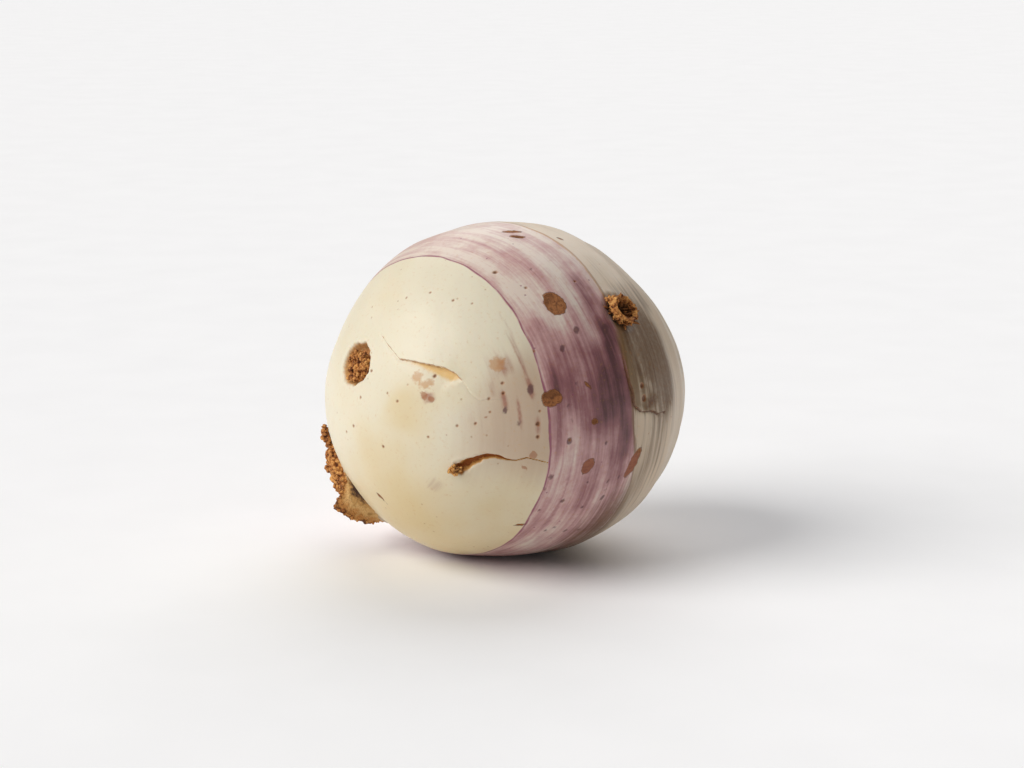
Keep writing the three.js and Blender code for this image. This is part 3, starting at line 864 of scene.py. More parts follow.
def waxy_skin(looks):
    """Turnip skin, grown: a thin waxy film over pale flesh, so its shine is broad and light sinks in."""
    flesh = {"Subsurface Weight": 0.12, "Subsurface Scale": 4 * MM, "Subsurface Radius": (1.0, 0.55, 0.3)}
    material, tree, shader = new_material("Waxy turnip skin", 0.42, 1.44, flesh)

    place = add(tree, "ShaderNodeTexCoord").outputs["Object"]
    in_mm = add(tree, "ShaderNodeVectorMath", links={0: place}, values={"Scale": 1 / MM}, operation="SCALE")
    along_rings = add(tree, "ShaderNodeAttribute", attribute_name="rings").outputs["Vector"]
    follows = {"place": in_mm.outputs[0], "rings": along_rings}
    patterns = {}
    for name, (what, cell, detail, roughness) in PATTERNS.items():
        links = {0: follows[what]}
        stretch = [1 / c for c in cell]
        scaled = add(tree, "ShaderNodeVectorMath", links=links, values={1: stretch}, operation="MULTIPLY")
        values = {"Scale": 1.0, "Detail": detail, "Roughness": roughness}
        pattern = add(tree, "ShaderNodeTexNoise", links={"Vector": scaled}, values=values)
        patterns[name] = pattern.outputs["Fac"]

    # The smallest pores: one in each cell, and only in about half of the cells.
    spacing, radius = looks.pore_spacing / MM, looks.pore_size / MM
    cells = add(tree, "ShaderNodeTexVoronoi", links={"Vector": in_mm}, values={"Scale": 1 / spacing})
    spot = add(
        tree,
        "ShaderNodeMapRange",
        links={"Value": cells.outputs["Distance"]},
        values={"From Min": PORE_FADE[0] * radius / spacing, "From Max": PORE_FADE[1] * radius / spacing},
    )
    draw = add(tree, "ShaderNodeSeparateColor", links={0: cells.outputs["Color"]})
    kept = add(tree, "ShaderNodeMath", links={0: draw}, values={1: CELLS_WITHOUT}, operation="GREATER_THAN")
    tiny_pores = add(tree, "ShaderNodeMath", links={0: spot, 1: kept}, operation="MULTIPLY")
    patterns["tiny_pores"] = tiny_pores.outputs[0]

    names = [row[1] for row in COATS] + ["mauve", "dry", "on_band", "off_band", "on_shoulder"]
    painted = {}
    for name in dict.fromkeys(names):
        painted[name] = add(tree, "ShaderNodeAttribute", attribute_name=name).outputs["Fac"]

    # The purple band's colour, by how deep the purple is there.
    streaks = [(patterns[name], share) for name, share in BAND_STREAKS.items()]
    depth = weigh(tree, [(painted["mauve"], 1.0), *streaks])
    middle = sum(BAND_STREAKS.values()) / 2
    centred = add(tree, "ShaderNodeMath", links={0: depth}, values={1: middle}, operation="SUBTRACT")
    stops = [(place, getattr(looks, tone)) for place, tone in BAND_TONES]
    band = add(tree, "ShaderNodeValToRGB", links={0: centred}, stops=stops)

    under = add(tree, "ShaderNodeRGB").outputs[0]
    under.default_value = rgba(looks.cream)
    for tone, attribute, pattern, share, low, high, strength in COATS:
        uneven = weigh(tree, [(patterns[pattern], share), (painted[attribute], 1.0)])
        limits = {"From Min": low + share / 2, "From Max": high + share / 2, "To Max": strength}
        links = {"Value": uneven}
        where = add(tree, "ShaderNodeMapRange", links=links, values=limits, interpolation_type="SMOOTHSTEP")
        links = {"Factor": where, 6: under}
        values = {}
        if tone == "band":
            links[7] = band
        else:
            values[7] = rgba(getattr(looks, tone))
        under = add(tree, "ShaderNodeMix", links=links, values=values, data_type="RGBA").outputs[2]
    tree.links.new(under, shader.inputs["Base Color"])

    added = weigh(tree, [(patterns["blotch"], BLOTCH_DULLS), (painted["dry"], DRY_DULLS)])
    roughness = add(tree, "ShaderNodeMath", links={0: added}, values={1: SMOOTHEST}, operation="ADD")
    tree.links.new(roughness.outputs[0], shader.inputs["Roughness"])

    heights = []
    for pattern, height, attribute in RELIEF:
        source = patterns[pattern]
        if attribute:
            links = {0: source, 1: painted[attribute]}
            source = add(tree, "ShaderNodeMath", links=links, operation="MULTIPLY")
        heights.append((source, height))
    links = {"Height": weigh(tree, heights)}
    shaded = add(tree, "ShaderNodeBump", links=links, values={"Strength": 1.0, "Distance": MM})
    tree.links.new(shaded.outputs[0], shader.inputs["Normal"])
    return material


def grained_material(name, roughness, ior, grains, relief, stops, along=0.0):
    """A dull natural material whose tones follow its grains and how far along its piece a point is.

    Each grain is the size of its cells in millimetres and its share. The relief is in millimetres.
    """
    material, tree, shader = new_material(name, roughness, ior)
    place = add(tree, "ShaderNodeTexCoord").outputs["Object"]
    parts = []
    for cell, share in grains:
        values = {"Scale": 1 / (cell * MM), "Detail": 2.5, "Roughness": 0.65}
        texture = add(tree, "ShaderNodeTexNoise", links={"Vector": place}, values=values)
        parts.append((texture.outputs["Fac"], share))
    if along:
        attribute = add(tree, "ShaderNodeAttribute", attribute_name="along")
        parts.append((attribute.outputs["Fac"], along))
    ramp = add(tree, "ShaderNodeValToRGB", links={0: weigh(tree, parts)}, stops=stops)
    tree.links.new(ramp.outputs[0], shader.inputs["Base Color"])
    values = {"Strength": 1.0, "Distance": relief * MM}
    shaded = add(tree, "ShaderNodeBump", links={"Height": parts[0][0]}, values=values)
    tree.links.new(shaded.outputs[0], shader.inputs["Normal"])
    return material


def root_bark(looks):
    """Root bark, snapped: tan skin that tears to a ragged dark rim of fibres."""
    # The darkest stop is reached mostly where the neck's painted shade lowers how far along a point is.
    stops = [
        (0.1, linear("#3B200D")),
        (0.3, linear("#B98B4E")),
        (0.5, linear("#D6AC70")),
        (0.8, linear("#BE8243")),
        (0.95, looks.dark_scar),
    ]
    grains = [(0.8, 0.5), (3.0, 0.3)]
    return grained_material("Snapped root bark", 0.75, 1.45, grains, 0.8, stops, along=0.55)


def dried_soil(name, light, middle, dark, crumb):
    """Soil, dried on: grains of clay and sand with no shine, in tones that change from grain to grain."""
    stops = [(0.53, dark), (0.65, middle), (0.82, light)]
    grains = [(0.3, 0.35), (2.2 * crumb / MM, 1.0)]
    return grained_material(name, 0.92, 1.5, grains, 0.16, stops)


def root_fibre(looks):
    """Root fibre, broken off and dried: dark where it leaves the root and golden at its tip."""
    stops = [(0.3, linear("#2E1A0B")), (0.55, linear("#7E4E20")), (0.8, looks.brown), (1.0, looks.golden)]
    return grained_material("Dried root fibre", 0.85, 1.5, [(0.4, 0.45)], 0.15, stops, along=0.6)


def stalk_skin(looks):
    """Leaf stalk, cut: ribbed pale green skin that dries to brown at the cut."""
    stops = [
        (0.15, linear("#6E5A34")),
        (0.35, looks.stalk),
        (0.6, looks.stalk),
        (0.74, looks.cut_end),
        (0.95, linear("#5A3F20")),
    ]
    grains = [(0.7, 0.4), (2.5, 0.15)]
    return grained_material("Cut leaf stalk", 0.6, 1.44, grains, 0.3, stops, along=0.55)


def new_object(name, data):
    made = bpy.data.objects.new(name, data)
    bpy.context.scene.collection.objects.link(made)
    return made


MOTTLE_MM = 25.0  # size of the patches of the board's mottle


def painted_board():
    """Board, painted pale and matt: an even tone with a faint mottle and no shine."""
    material, tree, shader = new_material("Pale painted board", 0.9, 1.45)
    place = add(tree, "ShaderNodeTexCoord").outputs["Object"]
    values = {"Scale": 1 / (MOTTLE_MM * MM), "Detail": 2.0}
    mottle = add(tree, "ShaderNodeTexNoise", links={"Vector": place}, values=values)
    stops = [(0.3, linear("#FBFBFD")), (0.8, linear("#F8F8FA"))]
    surface = add(tree, "ShaderNodeValToRGB", links={0: mottle.outputs["Fac"]}, stops=stops)
    tree.links.new(surface.outputs[0], shader.inputs["Base Color"])
    return material


def plain_mesh(name, points, faces, material):
    """An object of a mesh given in millimetres from the root's centre, in the frame's metres."""
    mesh = bpy.data.meshes.new(name)
    corners = [tuple(int(i) for i in face) for face in faces]
    mesh.from_pydata(((np.asarray(points) + CENTRE) * MM).tolist(), [], corners)
    mesh.validate()
    mesh.shade_smooth()
    if material:
        mesh.materials.append(material)
    return new_object(name, mesh)


def attach(piece, slot, *nodes):
    """Rides a finished piece on the root and hides the nodes that it stands for. Its slot is not used."""
    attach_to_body(piece, BODY)
    if nodes:
        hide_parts(*nodes)


def write_attribute(mesh, name, values):
    if values.ndim == 1:
        mesh.attributes.new(name, "FLOAT", "POINT").data.foreach_set("value", values.astype(np.float32))
    else:
        vectors = mesh.attributes.new(name, "FLOAT_VECTOR", "POINT").data
        vectors.foreach_set("vector", values.astype(np.float32).ravel())


def skin_attributes(points, marks, edges):
    """What the skin's material reads at each point: places, distances in millimetres and strengths."""
    turn, angle = marks["turn"], marks["angle"]
    side = FRONT_RADIUS * np.sin(np.radians(angle))
    rings = [side * np.cos(np.radians(turn)), side * np.sin(np.radians(turn)), angle * ARC_MM]
    wavy = lumps(points, 7.0, 2, 31.0)
    band = marks["band"] + 0.35 * wavy
    shoulder = marks["shoulder"] + 0.4 * wavy
    on_shoulder = smooth(shoulder, -0.5, 0.35)
    on_band = smooth(band, -0.05, 0.3) * (1 - on_shoulder)
    in_scar = smooth(edges["scar"], 0.0, 0.2)
    crack_depth = np.clip(edges["crack"] / np.maximum(marks["crack_half"], 0.12), 0, 1)
    pit_depth = smooth(edges["pit"], -0.1, 1.6)
    lip, tear = edges["lip"], edges["tear"]
    lip_low = (lip < 0) * smooth(lip + marks["lip_half"], -0.5, 1.0) * smooth(marks["lip_deep"], 0.15, 0.6)
    down = -(points @ UP)
    return {
        "rings": np.stack(rings, axis=1),
        "band": band,
        "on_band": on_band,
        "off_band": 1 - on_band,
        "shoulder": shoulder,
        "tan_line": bump(shoulder, 0.1, 0.55) * bump(turn, 25, 42),
        "on_shoulder": on_shoulder,
        "in_scar": in_scar,
        "red_scar": in_scar * smooth(down, 12, 15) * smooth(points @ ACROSS, 10, 14),
        "mauve": 0.07 + 0.17 * bump(turn, 85, 45) + stain(marks, MAUVE_STRIPES),
        "blush": np.clip(stain(marks, PINK_BLUSHES), 0, 1),
        "ruddy": np.clip(stain(marks, RUDDY_STAINS_AND_SHADE), 0, 1),
        "olive": np.clip(stain(marks, OLIVE_STAINS), 0, 1),
        # The grey table: painted shade on the shoulder and lower right, and the stain under the side root.
        "dirt": np.clip(stain(marks, GREY_STAINS_AND_PAINTED_SHADE), 0, 1),
        "low_down": smooth(0.2 * (angle - 120) + down, 6, 44) + stain(marks, YELLOW_STAINS),
        "crown": smooth(-angle, -22, -9),
        # Painted shade in the crease round the foot of the neck.
        "tap_line": bump(marks["tap_share"], 1.12, 0.1),
        "scar": edges["scar"],
        "pore": marks["pore"],
        "spot": edges["spot"],
        "scaly": edges["scaly"],
        "tan": edges["tan"],
        "rust": edges["rust"],
        # Dark cork and painted shade in the side root's bore.
        "side_hole": SIDE_ROOT["hole"] - SIDE_ROOT["dimple"] + edges["side_root"],
        "crack_depth": crack_depth,
        # The lifted edge's own line, darkened as painted shade under the step.
        "lip_line": bump(lip, 0, 0.17) * smooth(marks["lip_deep"], 0.0, 0.22),
        "lip_low": lip_low,
        # Painted shadow under the lifted flap at the tear.
        "tear_line": bump(tear, -0.1, 0.26) * smooth(marks["tear_deep"], 0.08, 0.4),
        "pit_depth": pit_depth,
        "dry": np.maximum.reduce([in_scar, smooth(crack_depth, 0.05, 0.3), smooth(pit_depth, 0, 0.3)]),
    }


class TURNIP_OT_skin(bpy.types.Operator):
    """Builds the root's skin with its pit, splits, scars and purple band"""

    bl_idname = "turnip.skin"
    bl_label = "Skin"

    def execute(self, context):
        ball = bmesh.new()
        bmesh.ops.create_icosphere(ball, subdivisions=7, radius=1.0)
        directions = unit(np.array([v.co for v in ball.verts]))
        faces = np.array([[v.index for v in f.verts] for f in ball.faces])
        ball.free()
        for reach in (1.3, 0.7):
            middles = unit(directions[faces].mean(axis=1))
            chosen = needs_detail(skin_marks(middles), reach)
            directions, faces = split_triangles(directions, faces, chosen)

        marks = skin_marks(directions)
        edges = ragged_edges(marks)
        points = marks["points"] + directions * skin_heights(marks, edges)[:, None]
        points[:, 2] = np.maximum(points[:, 2], -CENTRE[2])
        skin = plain_mesh("turnip_skin", points, faces, waxy_skin(context.scene.turnip_skin_looks))
        for name, values in skin_attributes(points, marks, edges).items():
            write_attribute(skin.data, name, values)
        attach(skin, "turnip_skin", "turnip_root")
        print("skin triangles", len(faces))
        return {"FINISHED"}


def ring_faces(rings, around, closed):
    """Quads between rings of points. When closed, the last ring joins the first."""
    faces = []
    for r in range(rings if closed else rings - 1):
        following = (r + 1) % rings
        for c in range(around):
            d = (c + 1) % around
            faces.append((r * around + c, r * around + d, following * around + d, following * around + c))
    return faces


def face_outwards(piece):
    """Turns a closed mesh's faces outwards."""
    shell = bmesh.new()
    shell.from_mesh(piece.data)
    bmesh.ops.recalc_face_normals(shell, faces=shell.faces)
    shell.to_mesh(piece.data)
    shell.free()


def neck_rim(turn):
    """How far the neck's torn rim stands above the skin, in millimetres, at turns round the neck."""
    side = np.cos(turn)
    ragged = lumps(np.stack([np.cos(turn), np.sin(turn), 0 * turn], axis=1) * 3, 0.3, 3, 5.0)
    rise = smooth(side, TAP_ROOT["rise_from"], TAP_ROOT["peak"])
    fall = TAP_ROOT["fall"] * np.clip(side - TAP_ROOT["peak"], 0, None) ** 2
    rim = TAP_ROOT["low"] + rise * (TAP_ROOT["high"] - TAP_ROOT["low"] - fall)
    spike = TAP_ROOT["spike"] * bump(np.degrees(turn), 86, 8)
    return np.maximum(rim + TAP_ROOT["ragged"] * ragged + spike, TAP_ROOT["lowest"])


BEAD = {"half_wide": 0.28, "half_high": 0.35, "sunk": 0.5}


def rim_bead():
    """A thin bead along the neck's torn rim, for crumbs to lie on."""
    sides, around = 120, 6
    turn = turns(sides)
    rim = neck_rim(turn)
    rings = []
    for k in range(around):
        angle = 2 * np.pi * k / around
        spread = BEAD["half_wide"] * math.cos(angle)
        along = (TAP_ROOT["along"] + spread) * np.cos(turn)
        across = (TAP_ROOT["deep"] + spread) * np.sin(turn)
        rise = BEAD["half_high"] * math.sin(angle) - BEAD["sunk"]
        rings.append(TAP_SEAT.at(along, across, rim + rise))
    bead = plain_mesh("rim_bead", np.concatenate(rings), ring_faces(around, sides, closed=True), None)
    face_outwards(bead)
    return bead


# The neck's wall, from its inside round its rim to its foot: how far each ring stands out from the
# neck's edge, in millimetres, and its share of the rim's height. Inside, the first is by the wall.
INSIDE_PROFILE = [(1, -0.35), (0.9, 0.1), (0.75, 0.4), (0.55, 0.7), (0.4, 0.92)]
NECK_PROFILE = [
    *[(-TAP_ROOT["wall"] * part, share) for part, share in INSIDE_PROFILE],
    (-0.35, 1.0),
    (0.0, 1.02),
    (0.22, 0.93),
    (0.3, 0.8),
    (0.3, 0.62),
    (0.42, 0.45),
    (0.7, 0.28),
    (1.15, 0.13),
    (1.8, 0.03),
    (2.6, -0.12),
    (2.2, -0.5),
]
NECK_SPOTS = [(75, 0.5), (50, 0.35)]  # dark spots on it: turn and share of the rim's height


class TURNIP_OT_tap_root(bpy.types.Operator):
    """Builds the neck of the snapped tap root, with its ragged rim"""

    bl_idname = "turnip.tap_root"
    bl_label = "Tap root"

    sides = 160

    def execute(self, context):
        turn = turns(self.sides)
        circle = np.stack([np.cos(turn), np.sin(turn), np.zeros(self.sides)], axis=1)
        rim = neck_rim(turn)
        rings, shares = [], []
        for spread, share in NECK_PROFILE:
            crumple = 0.22 * lumps(circle * 5 + share * 2, 0.6, 3, 9.0)
            along = (TAP_ROOT["along"] + spread + crumple) * np.cos(turn)
            across = (TAP_ROOT["deep"] + spread + crumple) * np.sin(turn)
            lift = rim * share if share > 0 else np.full(self.sides, share * 2.0)
            rings.append(TAP_SEAT.at(along, across, lift))
            # Painted shade: the wall darkens near its foot on the side facing the front, in the gap that the
            # crumbs shadow. NECK_SPOTS add the wall's own dark spots.
            painted_shade_and_spots = 0.6 * bump(np.degrees(turn), 90, 24) * smooth(-share, -0.6, -0.15)
            for at_turn, at_share in NECK_SPOTS:
                painted_shade_and_spots += 0.7 * bump(np.degrees(turn), at_turn, 4) * bump(share, at_share, 0.16)
            shares.append(np.clip(rim / 2.5, 0.3, 1.0) * max(share, 0.0) - painted_shade_and_spots)
        points = np.concatenate(rings)
        faces = ring_faces(len(NECK_PROFILE), self.sides, closed=True)
        neck = plain_mesh("tap_root_neck", points, faces, root_bark(context.scene.turnip_skin_looks))
        # The neck's along value is its height up the wall, less the painted shade and the spots.
        write_attribute(neck.data, "along", np.concatenate(shares))
        face_outwards(neck)
        attach(neck, "turnip_skin")
        return {"FINISHED"}


LUMP_MM = 0.55  # size of the lumps on crumbs and stubs
MOST_CRUMBS = 4e6  # on a square metre


def roughened(tree, geometry, roughness, surface):
    """The last nodes of a tree: lumps pushed out of a mesh, real faces and the material."""
    place = add(tree, "GeometryNodeInputPosition")
    values = {"Scale": 1 / (LUMP_MM * MM), "Detail": 2.0}
    lump = add(tree, "ShaderNodeTexNoise", links={"Vector": place}, values=values)
    height = lump.outputs["Fac"]
    centred = add(tree, "ShaderNodeMath", links={0: height}, values={1: 0.5}, operation="SUBTRACT")
    amount = add(tree, "ShaderNodeMath", links={0: centred, 1: roughness}, operation="MULTIPLY")
    normal = add(tree, "GeometryNodeInputNormal")
    outward = add(tree, "ShaderNodeVectorMath", links={0: normal, "Scale": amount}, operation="SCALE")
    pushed = add(tree, "GeometryNodeSetPosition", links={"Geometry": geometry, "Offset": outward})
    real = add(tree, "GeometryNodeRealizeInstances", links={"Geometry": pushed})
    painted = add(tree, "GeometryNodeSetMaterial", links={"Geometry": real, "Material": surface})
    add(tree, "NodeGroupOutput", links={0: painted})


def new_tree(name, inputs):
    """A tree of geometry nodes with named inputs and one output. Returns it with its inputs."""
    tree = bpy.data.node_groups.new(name, "GeometryNodeTree")
    for given, kind in inputs.items():
        tree.interface.new_socket(given, in_out="INPUT", socket_type="NodeSocket" + kind)
    tree.interface.new_socket("Result", in_out="OUTPUT", socket_type="NodeSocketGeometry")
    return tree, add(tree, "NodeGroupInput").outputs


def crumb_tree():
    """Nodes that strew lumpy crumbs over a mesh and keep the mesh itself between them."""
    inputs = {"Core": "Geometry", "Radius": "Float", "Spacing": "Float", "Roughness": "Float"}
    tree, given = new_tree("Soil crumbs", {**inputs, "Seed": "Int", "Soil": "Material"})
    spread = add(
        tree,
        "GeometryNodeDistributePointsOnFaces",
        links={"Mesh": given["Core"], "Distance Min": given["Spacing"], "Seed": given["Seed"]},
        values={"Density Max": MOST_CRUMBS},
        distribute_method="POISSON",
    )
    crumb = add(tree, "GeometryNodeMeshIcoSphere", values={"Radius": 1.0, "Subdivisions": 2})
    drawn = {}
    for what, least, most in [("turn", 0.0, math.tau), ("shape", 0.55, 1.35)]:
        drawn[what] = add(
            tree,
            "FunctionNodeRandomValue",
            links={"Seed": given["Seed"]},
            values={0: (least, least, least), 1: (most, most, most)},
            data_type="FLOAT_VECTOR",
        ).outputs[0]
    links = {0: drawn["shape"], "Scale": given["Radius"]}
    scaled = add(tree, "ShaderNodeVectorMath", links=links, operation="SCALE")
    links = {"Points": spread.outputs["Points"], "Rotation": drawn["turn"], "Scale": scaled}
    strewn = add(tree, "GeometryNodeInstanceOnPoints", links={**links, "Instance": crumb})
    real = add(tree, "GeometryNodeRealizeInstances", links={"Geometry": strewn})
    together = add(tree, "GeometryNodeJoinGeometry")
    tree.links.new(given["Core"], together.inputs[0])
    tree.links.new(real.outputs[0], together.inputs[0])
    roughened(tree, together, given["Roughness"], given["Soil"])
    return tree


def stub_tree():
    """Nodes that stand a shape on each point, with the point's own facing, side and extent."""
    inputs = {"Feet": "Geometry", "Shape": "Object", "Roughness": "Float", "Surface": "Material"}
    tree, given = new_tree("Stubs", inputs)
    links = {"Object": given["Shape"]}
    shape = add(tree, "GeometryNodeObjectInfo", links=links, transform_space="ORIGINAL")
    own = {}
    for name in ["facing", "side", "extent"]:
        values = {"Name": name}
        own[name] = add(tree, "GeometryNodeInputNamedAttribute", values=values, data_type="FLOAT_VECTOR")
    upright = add(tree, "FunctionNodeAlignRotationToVector", links={"Vector": own["facing"]}, axis="Z")
    turned = add(
        tree,
        "FunctionNodeAlignRotationToVector",
        links={"Rotation": upright, "Vector": own["side"]},
        axis="X",
        pivot_axis="Z",
    )
    links = {"Points": given["Feet"], "Instance": shape.outputs["Geometry"], "Rotation": turned}
    stood = add(tree, "GeometryNodeInstanceOnPoints", links={**links, "Scale": own["extent"]})
    real = add(tree, "GeometryNodeRealizeInstances", links={"Geometry": stood})
    roughened(tree, real, given["Roughness"], given["Surface"])
    return tree


def stubs(name, places, facing, side, extent, shape, roughness, surface):
    """Copies of a shape, made a millimetre in size, that stand on places and are sized in millimetres."""
    feet = plain_mesh(name + "_feet", places, [], None)
    for attribute, values in {"facing": facing, "side": side, "extent": extent}.items():
        write_attribute(feet.data, attribute, np.array(values))
    inputs = {"Shape": shape, "Roughness": roughness * MM, "Surface": surface}
    made = run_tree(feet, stub_tree(), inputs, name)
    bpy.data.objects.remove(shape)
    return made


def unit_shape(name, rings, around):
    """A closed shape from rings of points in millimetres, with how far along each point is."""
    faces = ring_faces(len(rings), around, closed=False)
    last = (len(rings) - 1) * around
    faces += [tuple(reversed(range(around))), tuple(last + k for k in range(around))]
    shape = plain_mesh(name, np.concatenate([ring for ring, _ in rings]) - CENTRE, faces, None)
    write_attribute(shape.data, "along", np.repeat([along for _, along in rings], around))
    face_outwards(shape)
    return shape


def run_tree(piece, tree, inputs, name):
    """Runs a node tree on an object with the inputs named and leaves its result as a plain mesh."""
    modifier = piece.modifiers.new(tree.name, "NODES")
    modifier.node_group = tree
    sockets = {s.name: s.identifier for s in tree.interface.items_tree if s.in_out == "INPUT"}
    for given, value in inputs.items():
        modifier[sockets[given]] = value
    evaluated = piece.evaluated_get(bpy.context.evaluated_depsgraph_get())
    mesh = bpy.data.meshes.new_from_object(evaluated)
    piece.modifiers.remove(modifier)
    mesh.name = name
    made = new_object(name, mesh)
    bpy.data.objects.remove(piece)
    return made


# Clods: the node each stands for, the piece's name, radius and spacing of its crumbs against those
# on the tap root, how far its core draws in from the solid in millimetres, its soil and its seed.
CLODS = [
    ("soil_in_pit", "pit_soil", 0.8, 1.0, 0.35, "brown", 3),
    ("soil_on_tap_root", "tap_root_soil", 1.2, 1.2, 0.6, "brown", 8),
    ("soil_above_tap_root", "skin_soil", 1.0, 1.1, 0.45, "brown", 15),
    ("soil_in_crack", "crack_soil", 0.6, 0.75, 0.3, "pale", 21),
    ("soil_on_side_root", "side_root_soil", 0.6, 1.2, 0.95, "brown", 34),
]


def clod_core(node, draw_in):
    """A copy of a soil solid, its triangles merged and drawn in so that crumbs don't outgrow it."""
    shell = bmesh.new()
    shell.from_mesh(frame["nodes"][node].data)
    bmesh.ops.remove_doubles(shell, verts=shell.verts, dist=0.004 * MM)
    shell.normal_update()
    for vertex, normal in [(v, v.normal.copy()) for v in shell.verts]:
        vertex.co -= normal * draw_in * MM
    mesh = bpy.data.meshes.new(node + "_core")
    shell.to_mesh(mesh)
    shell.free()
    return new_object(mesh.name, mesh)


# The ridge of crumbs against the front of the tap root's neck, along the outline.
RIDGE = {
    "angle": math.radians(207.5),
    "behind": math.radians(1.0),
    "along": 6.6,
    "across": 2.6,
    "height": 2.5,
    "sunk": 0.6,
}


def crumb_ridge():
    """A low mound on the skin for the ridge's crumbs to lie on."""
    seat = outline_seat(RIDGE["angle"], RIDGE["behind"])
    around, rings = 40, 7
    points = []
    for ring in range(rings):
        tilt = math.pi / 2 * ring / (rings - 1)
        reach = max(math.cos(tilt), 0.02)
        turn = turns(around)
        along = RIDGE["along"] * reach * np.cos(turn)
        across = RIDGE["across"] * reach * np.sin(turn)
        rise = (RIDGE["height"] + RIDGE["sunk"]) * math.sin(tilt)
        points.append(seat.at(along, across, rise - RIDGE["sunk"]))
    faces = ring_faces(rings, around, closed=False)
    faces += [tuple(range(around)), tuple((rings - 1) * around + k for k in range(around))]
    ridge = plain_mesh("crumb_ridge", np.concatenate(points), faces, None)
    face_outwards(ridge)
    return ridge


class TURNIP_OT_soil(bpy.types.Operator):
    """Builds the clods of dried soil from crumbs strewn over their solids"""

    bl_idname = "turnip.soil"
    bl_label = "Dried soil"

    loose_seed = 5

    def execute(self, context):
        looks = context.scene.turnip_soil_looks
        tree = crumb_tree()
        soils = {
            "brown": dried_soil("Dried clay soil", looks.golden, looks.brown, looks.dark, looks.crumb_radius),
            "pale": dried_soil("Dried sandy soil", looks.golden, looks.pale, looks.dark, looks.crumb_radius),
        }

        def strewn(core, name, radius, spacing, roughness, soil, seed):
            inputs = {
                "Radius": looks.crumb_radius * radius,
                "Spacing": looks.crumb_spacing * spacing,
                "Roughness": looks.crumb_radius * roughness,
                "Seed": seed,
                "Soil": soils[soil],
            }
            return run_tree(core, tree, inputs, name)

        slots = {entry["node"]: entry["material_slot"] for entry in frame["record"]["subparts"]}
        for node, name, radius, spacing, draw_in, soil, seed in CLODS:
            clod = strewn(clod_core(node, draw_in), name, radius, spacing, 0.9 * radius, soil, seed)
            attach(clod, slots[node], node)
        for core, name, radius, spacing in [
            (crumb_ridge, "neck_soil", 1.25, 1.25),
            (rim_bead, "rim_soil", 0.7, 1.3),
        ]:
            attach(strewn(core(), name, radius, spacing, 1.0, "brown", self.loose_seed), "dried_soil")
        return {"FINISHED"}


# The side root's fibres, in millimetres: how far out they start and how deep, their least length with
# what reach and chance add to it, their least width with what chance adds, and how they lean.
FIBRE_REACH = 2.9
FIBRE_SUNK = 0.5
FIBRE_LENGTH = (0.8, 0.3, 1.6)
FIBRE_WIDTH = (0.16, 0.26)
FIBRE_LEAN = (0.1, 0.3)
FIBRE_SECTION = (1.7, 0.7)
FIBRE_BEND = 1.3


class TURNIP_OT_side_root(bpy.types.Operator):
    """Builds the broken fibres round the side root's bore"""

    bl_idname = "turnip.side_root"
    bl_label = "Side root"

    fibres = 96
    fibre_sides = 6
    fibre_rings = 6
    seed = 6

    def execute(self, context):
        draws = np.random.default_rng(self.seed)
        places, facing, side, extent = [], [], [], []
        for i in range(self.fibres):
            turn = i * GOLDEN_ANGLE
            outward = math.cos(turn) * SIDE_SEAT.u + math.sin(turn) * SIDE_SEAT.v
            reach = FIBRE_REACH * math.sqrt(draws.random())
            lean = FIBRE_LEAN[0] + FIBRE_LEAN[1] * reach * draws.random()
            twist = draws.random() * math.pi
            length = FIBRE_LENGTH[0] + FIBRE_LENGTH[1] * reach + FIBRE_LENGTH[2] * draws.random() ** 2
            width = FIBRE_WIDTH[0] + FIBRE_WIDTH[1] * draws.random()
            places.append(SIDE_SEAT.around(turn, reach, -FIBRE_SUNK))
            facing.append(math.cos(lean) * SIDE_SEAT.out + math.sin(lean) * outward)
            across = np.cross(SIDE_SEAT.out, outward)
            side.append(math.cos(twist) * across + math.sin(twist) * outward)
            extent.append((FIBRE_SECTION[0] * width, FIBRE_SECTION[1] * width, length))
        circle = turns(self.fibre_sides)
        rings = []
        for along in np.linspace(0, 1, self.fibre_rings):
            thick = 1.06 - along**2
            bend = FIBRE_BEND * along**2
            ring = [np.cos(circle) * thick + bend, np.sin(circle) * thick, along + 0 * circle]
            rings.append((np.stack(ring, axis=1), along))
        sliver = unit_shape("sliver", rings, self.fibre_sides)
        fibre = root_fibre(context.scene.turnip_soil_looks)
        tuft = stubs("side_root_fibres", places, facing, side, extent, sliver, 0.3, fibre)
        attach(tuft, "pale_soil")
        return {"FINISHED"}


# The cut leaf stalks, in millimetres: how far out the first stands and how fast the rest follow, how
# deep they start, and half their width and thickness. Each leans and grows a little more than the last.
STALKS = {
    "first": 1.9,
    "spacing": 2.1,
    "sunk": 1.5,
    "half_wide": 1.86,
    "half_thick": 1.05,
    "lean": 0.25,
    "more_lean": 0.03,
    "growth": 0.04,
}
STALK_RIBS = (7, 0.06)
STALK_GROOVE = (0.5, 0.4)
# The hollow of a cut end: the height and size of each ring by the stalk's own, and how dry it is.
STALK_CUT = [(1.0, 0.78, 1.0), (0.95, 0.62, 1.25), (0.84, 0.34, 1.35), (0.8, 0.03, 1.1)]


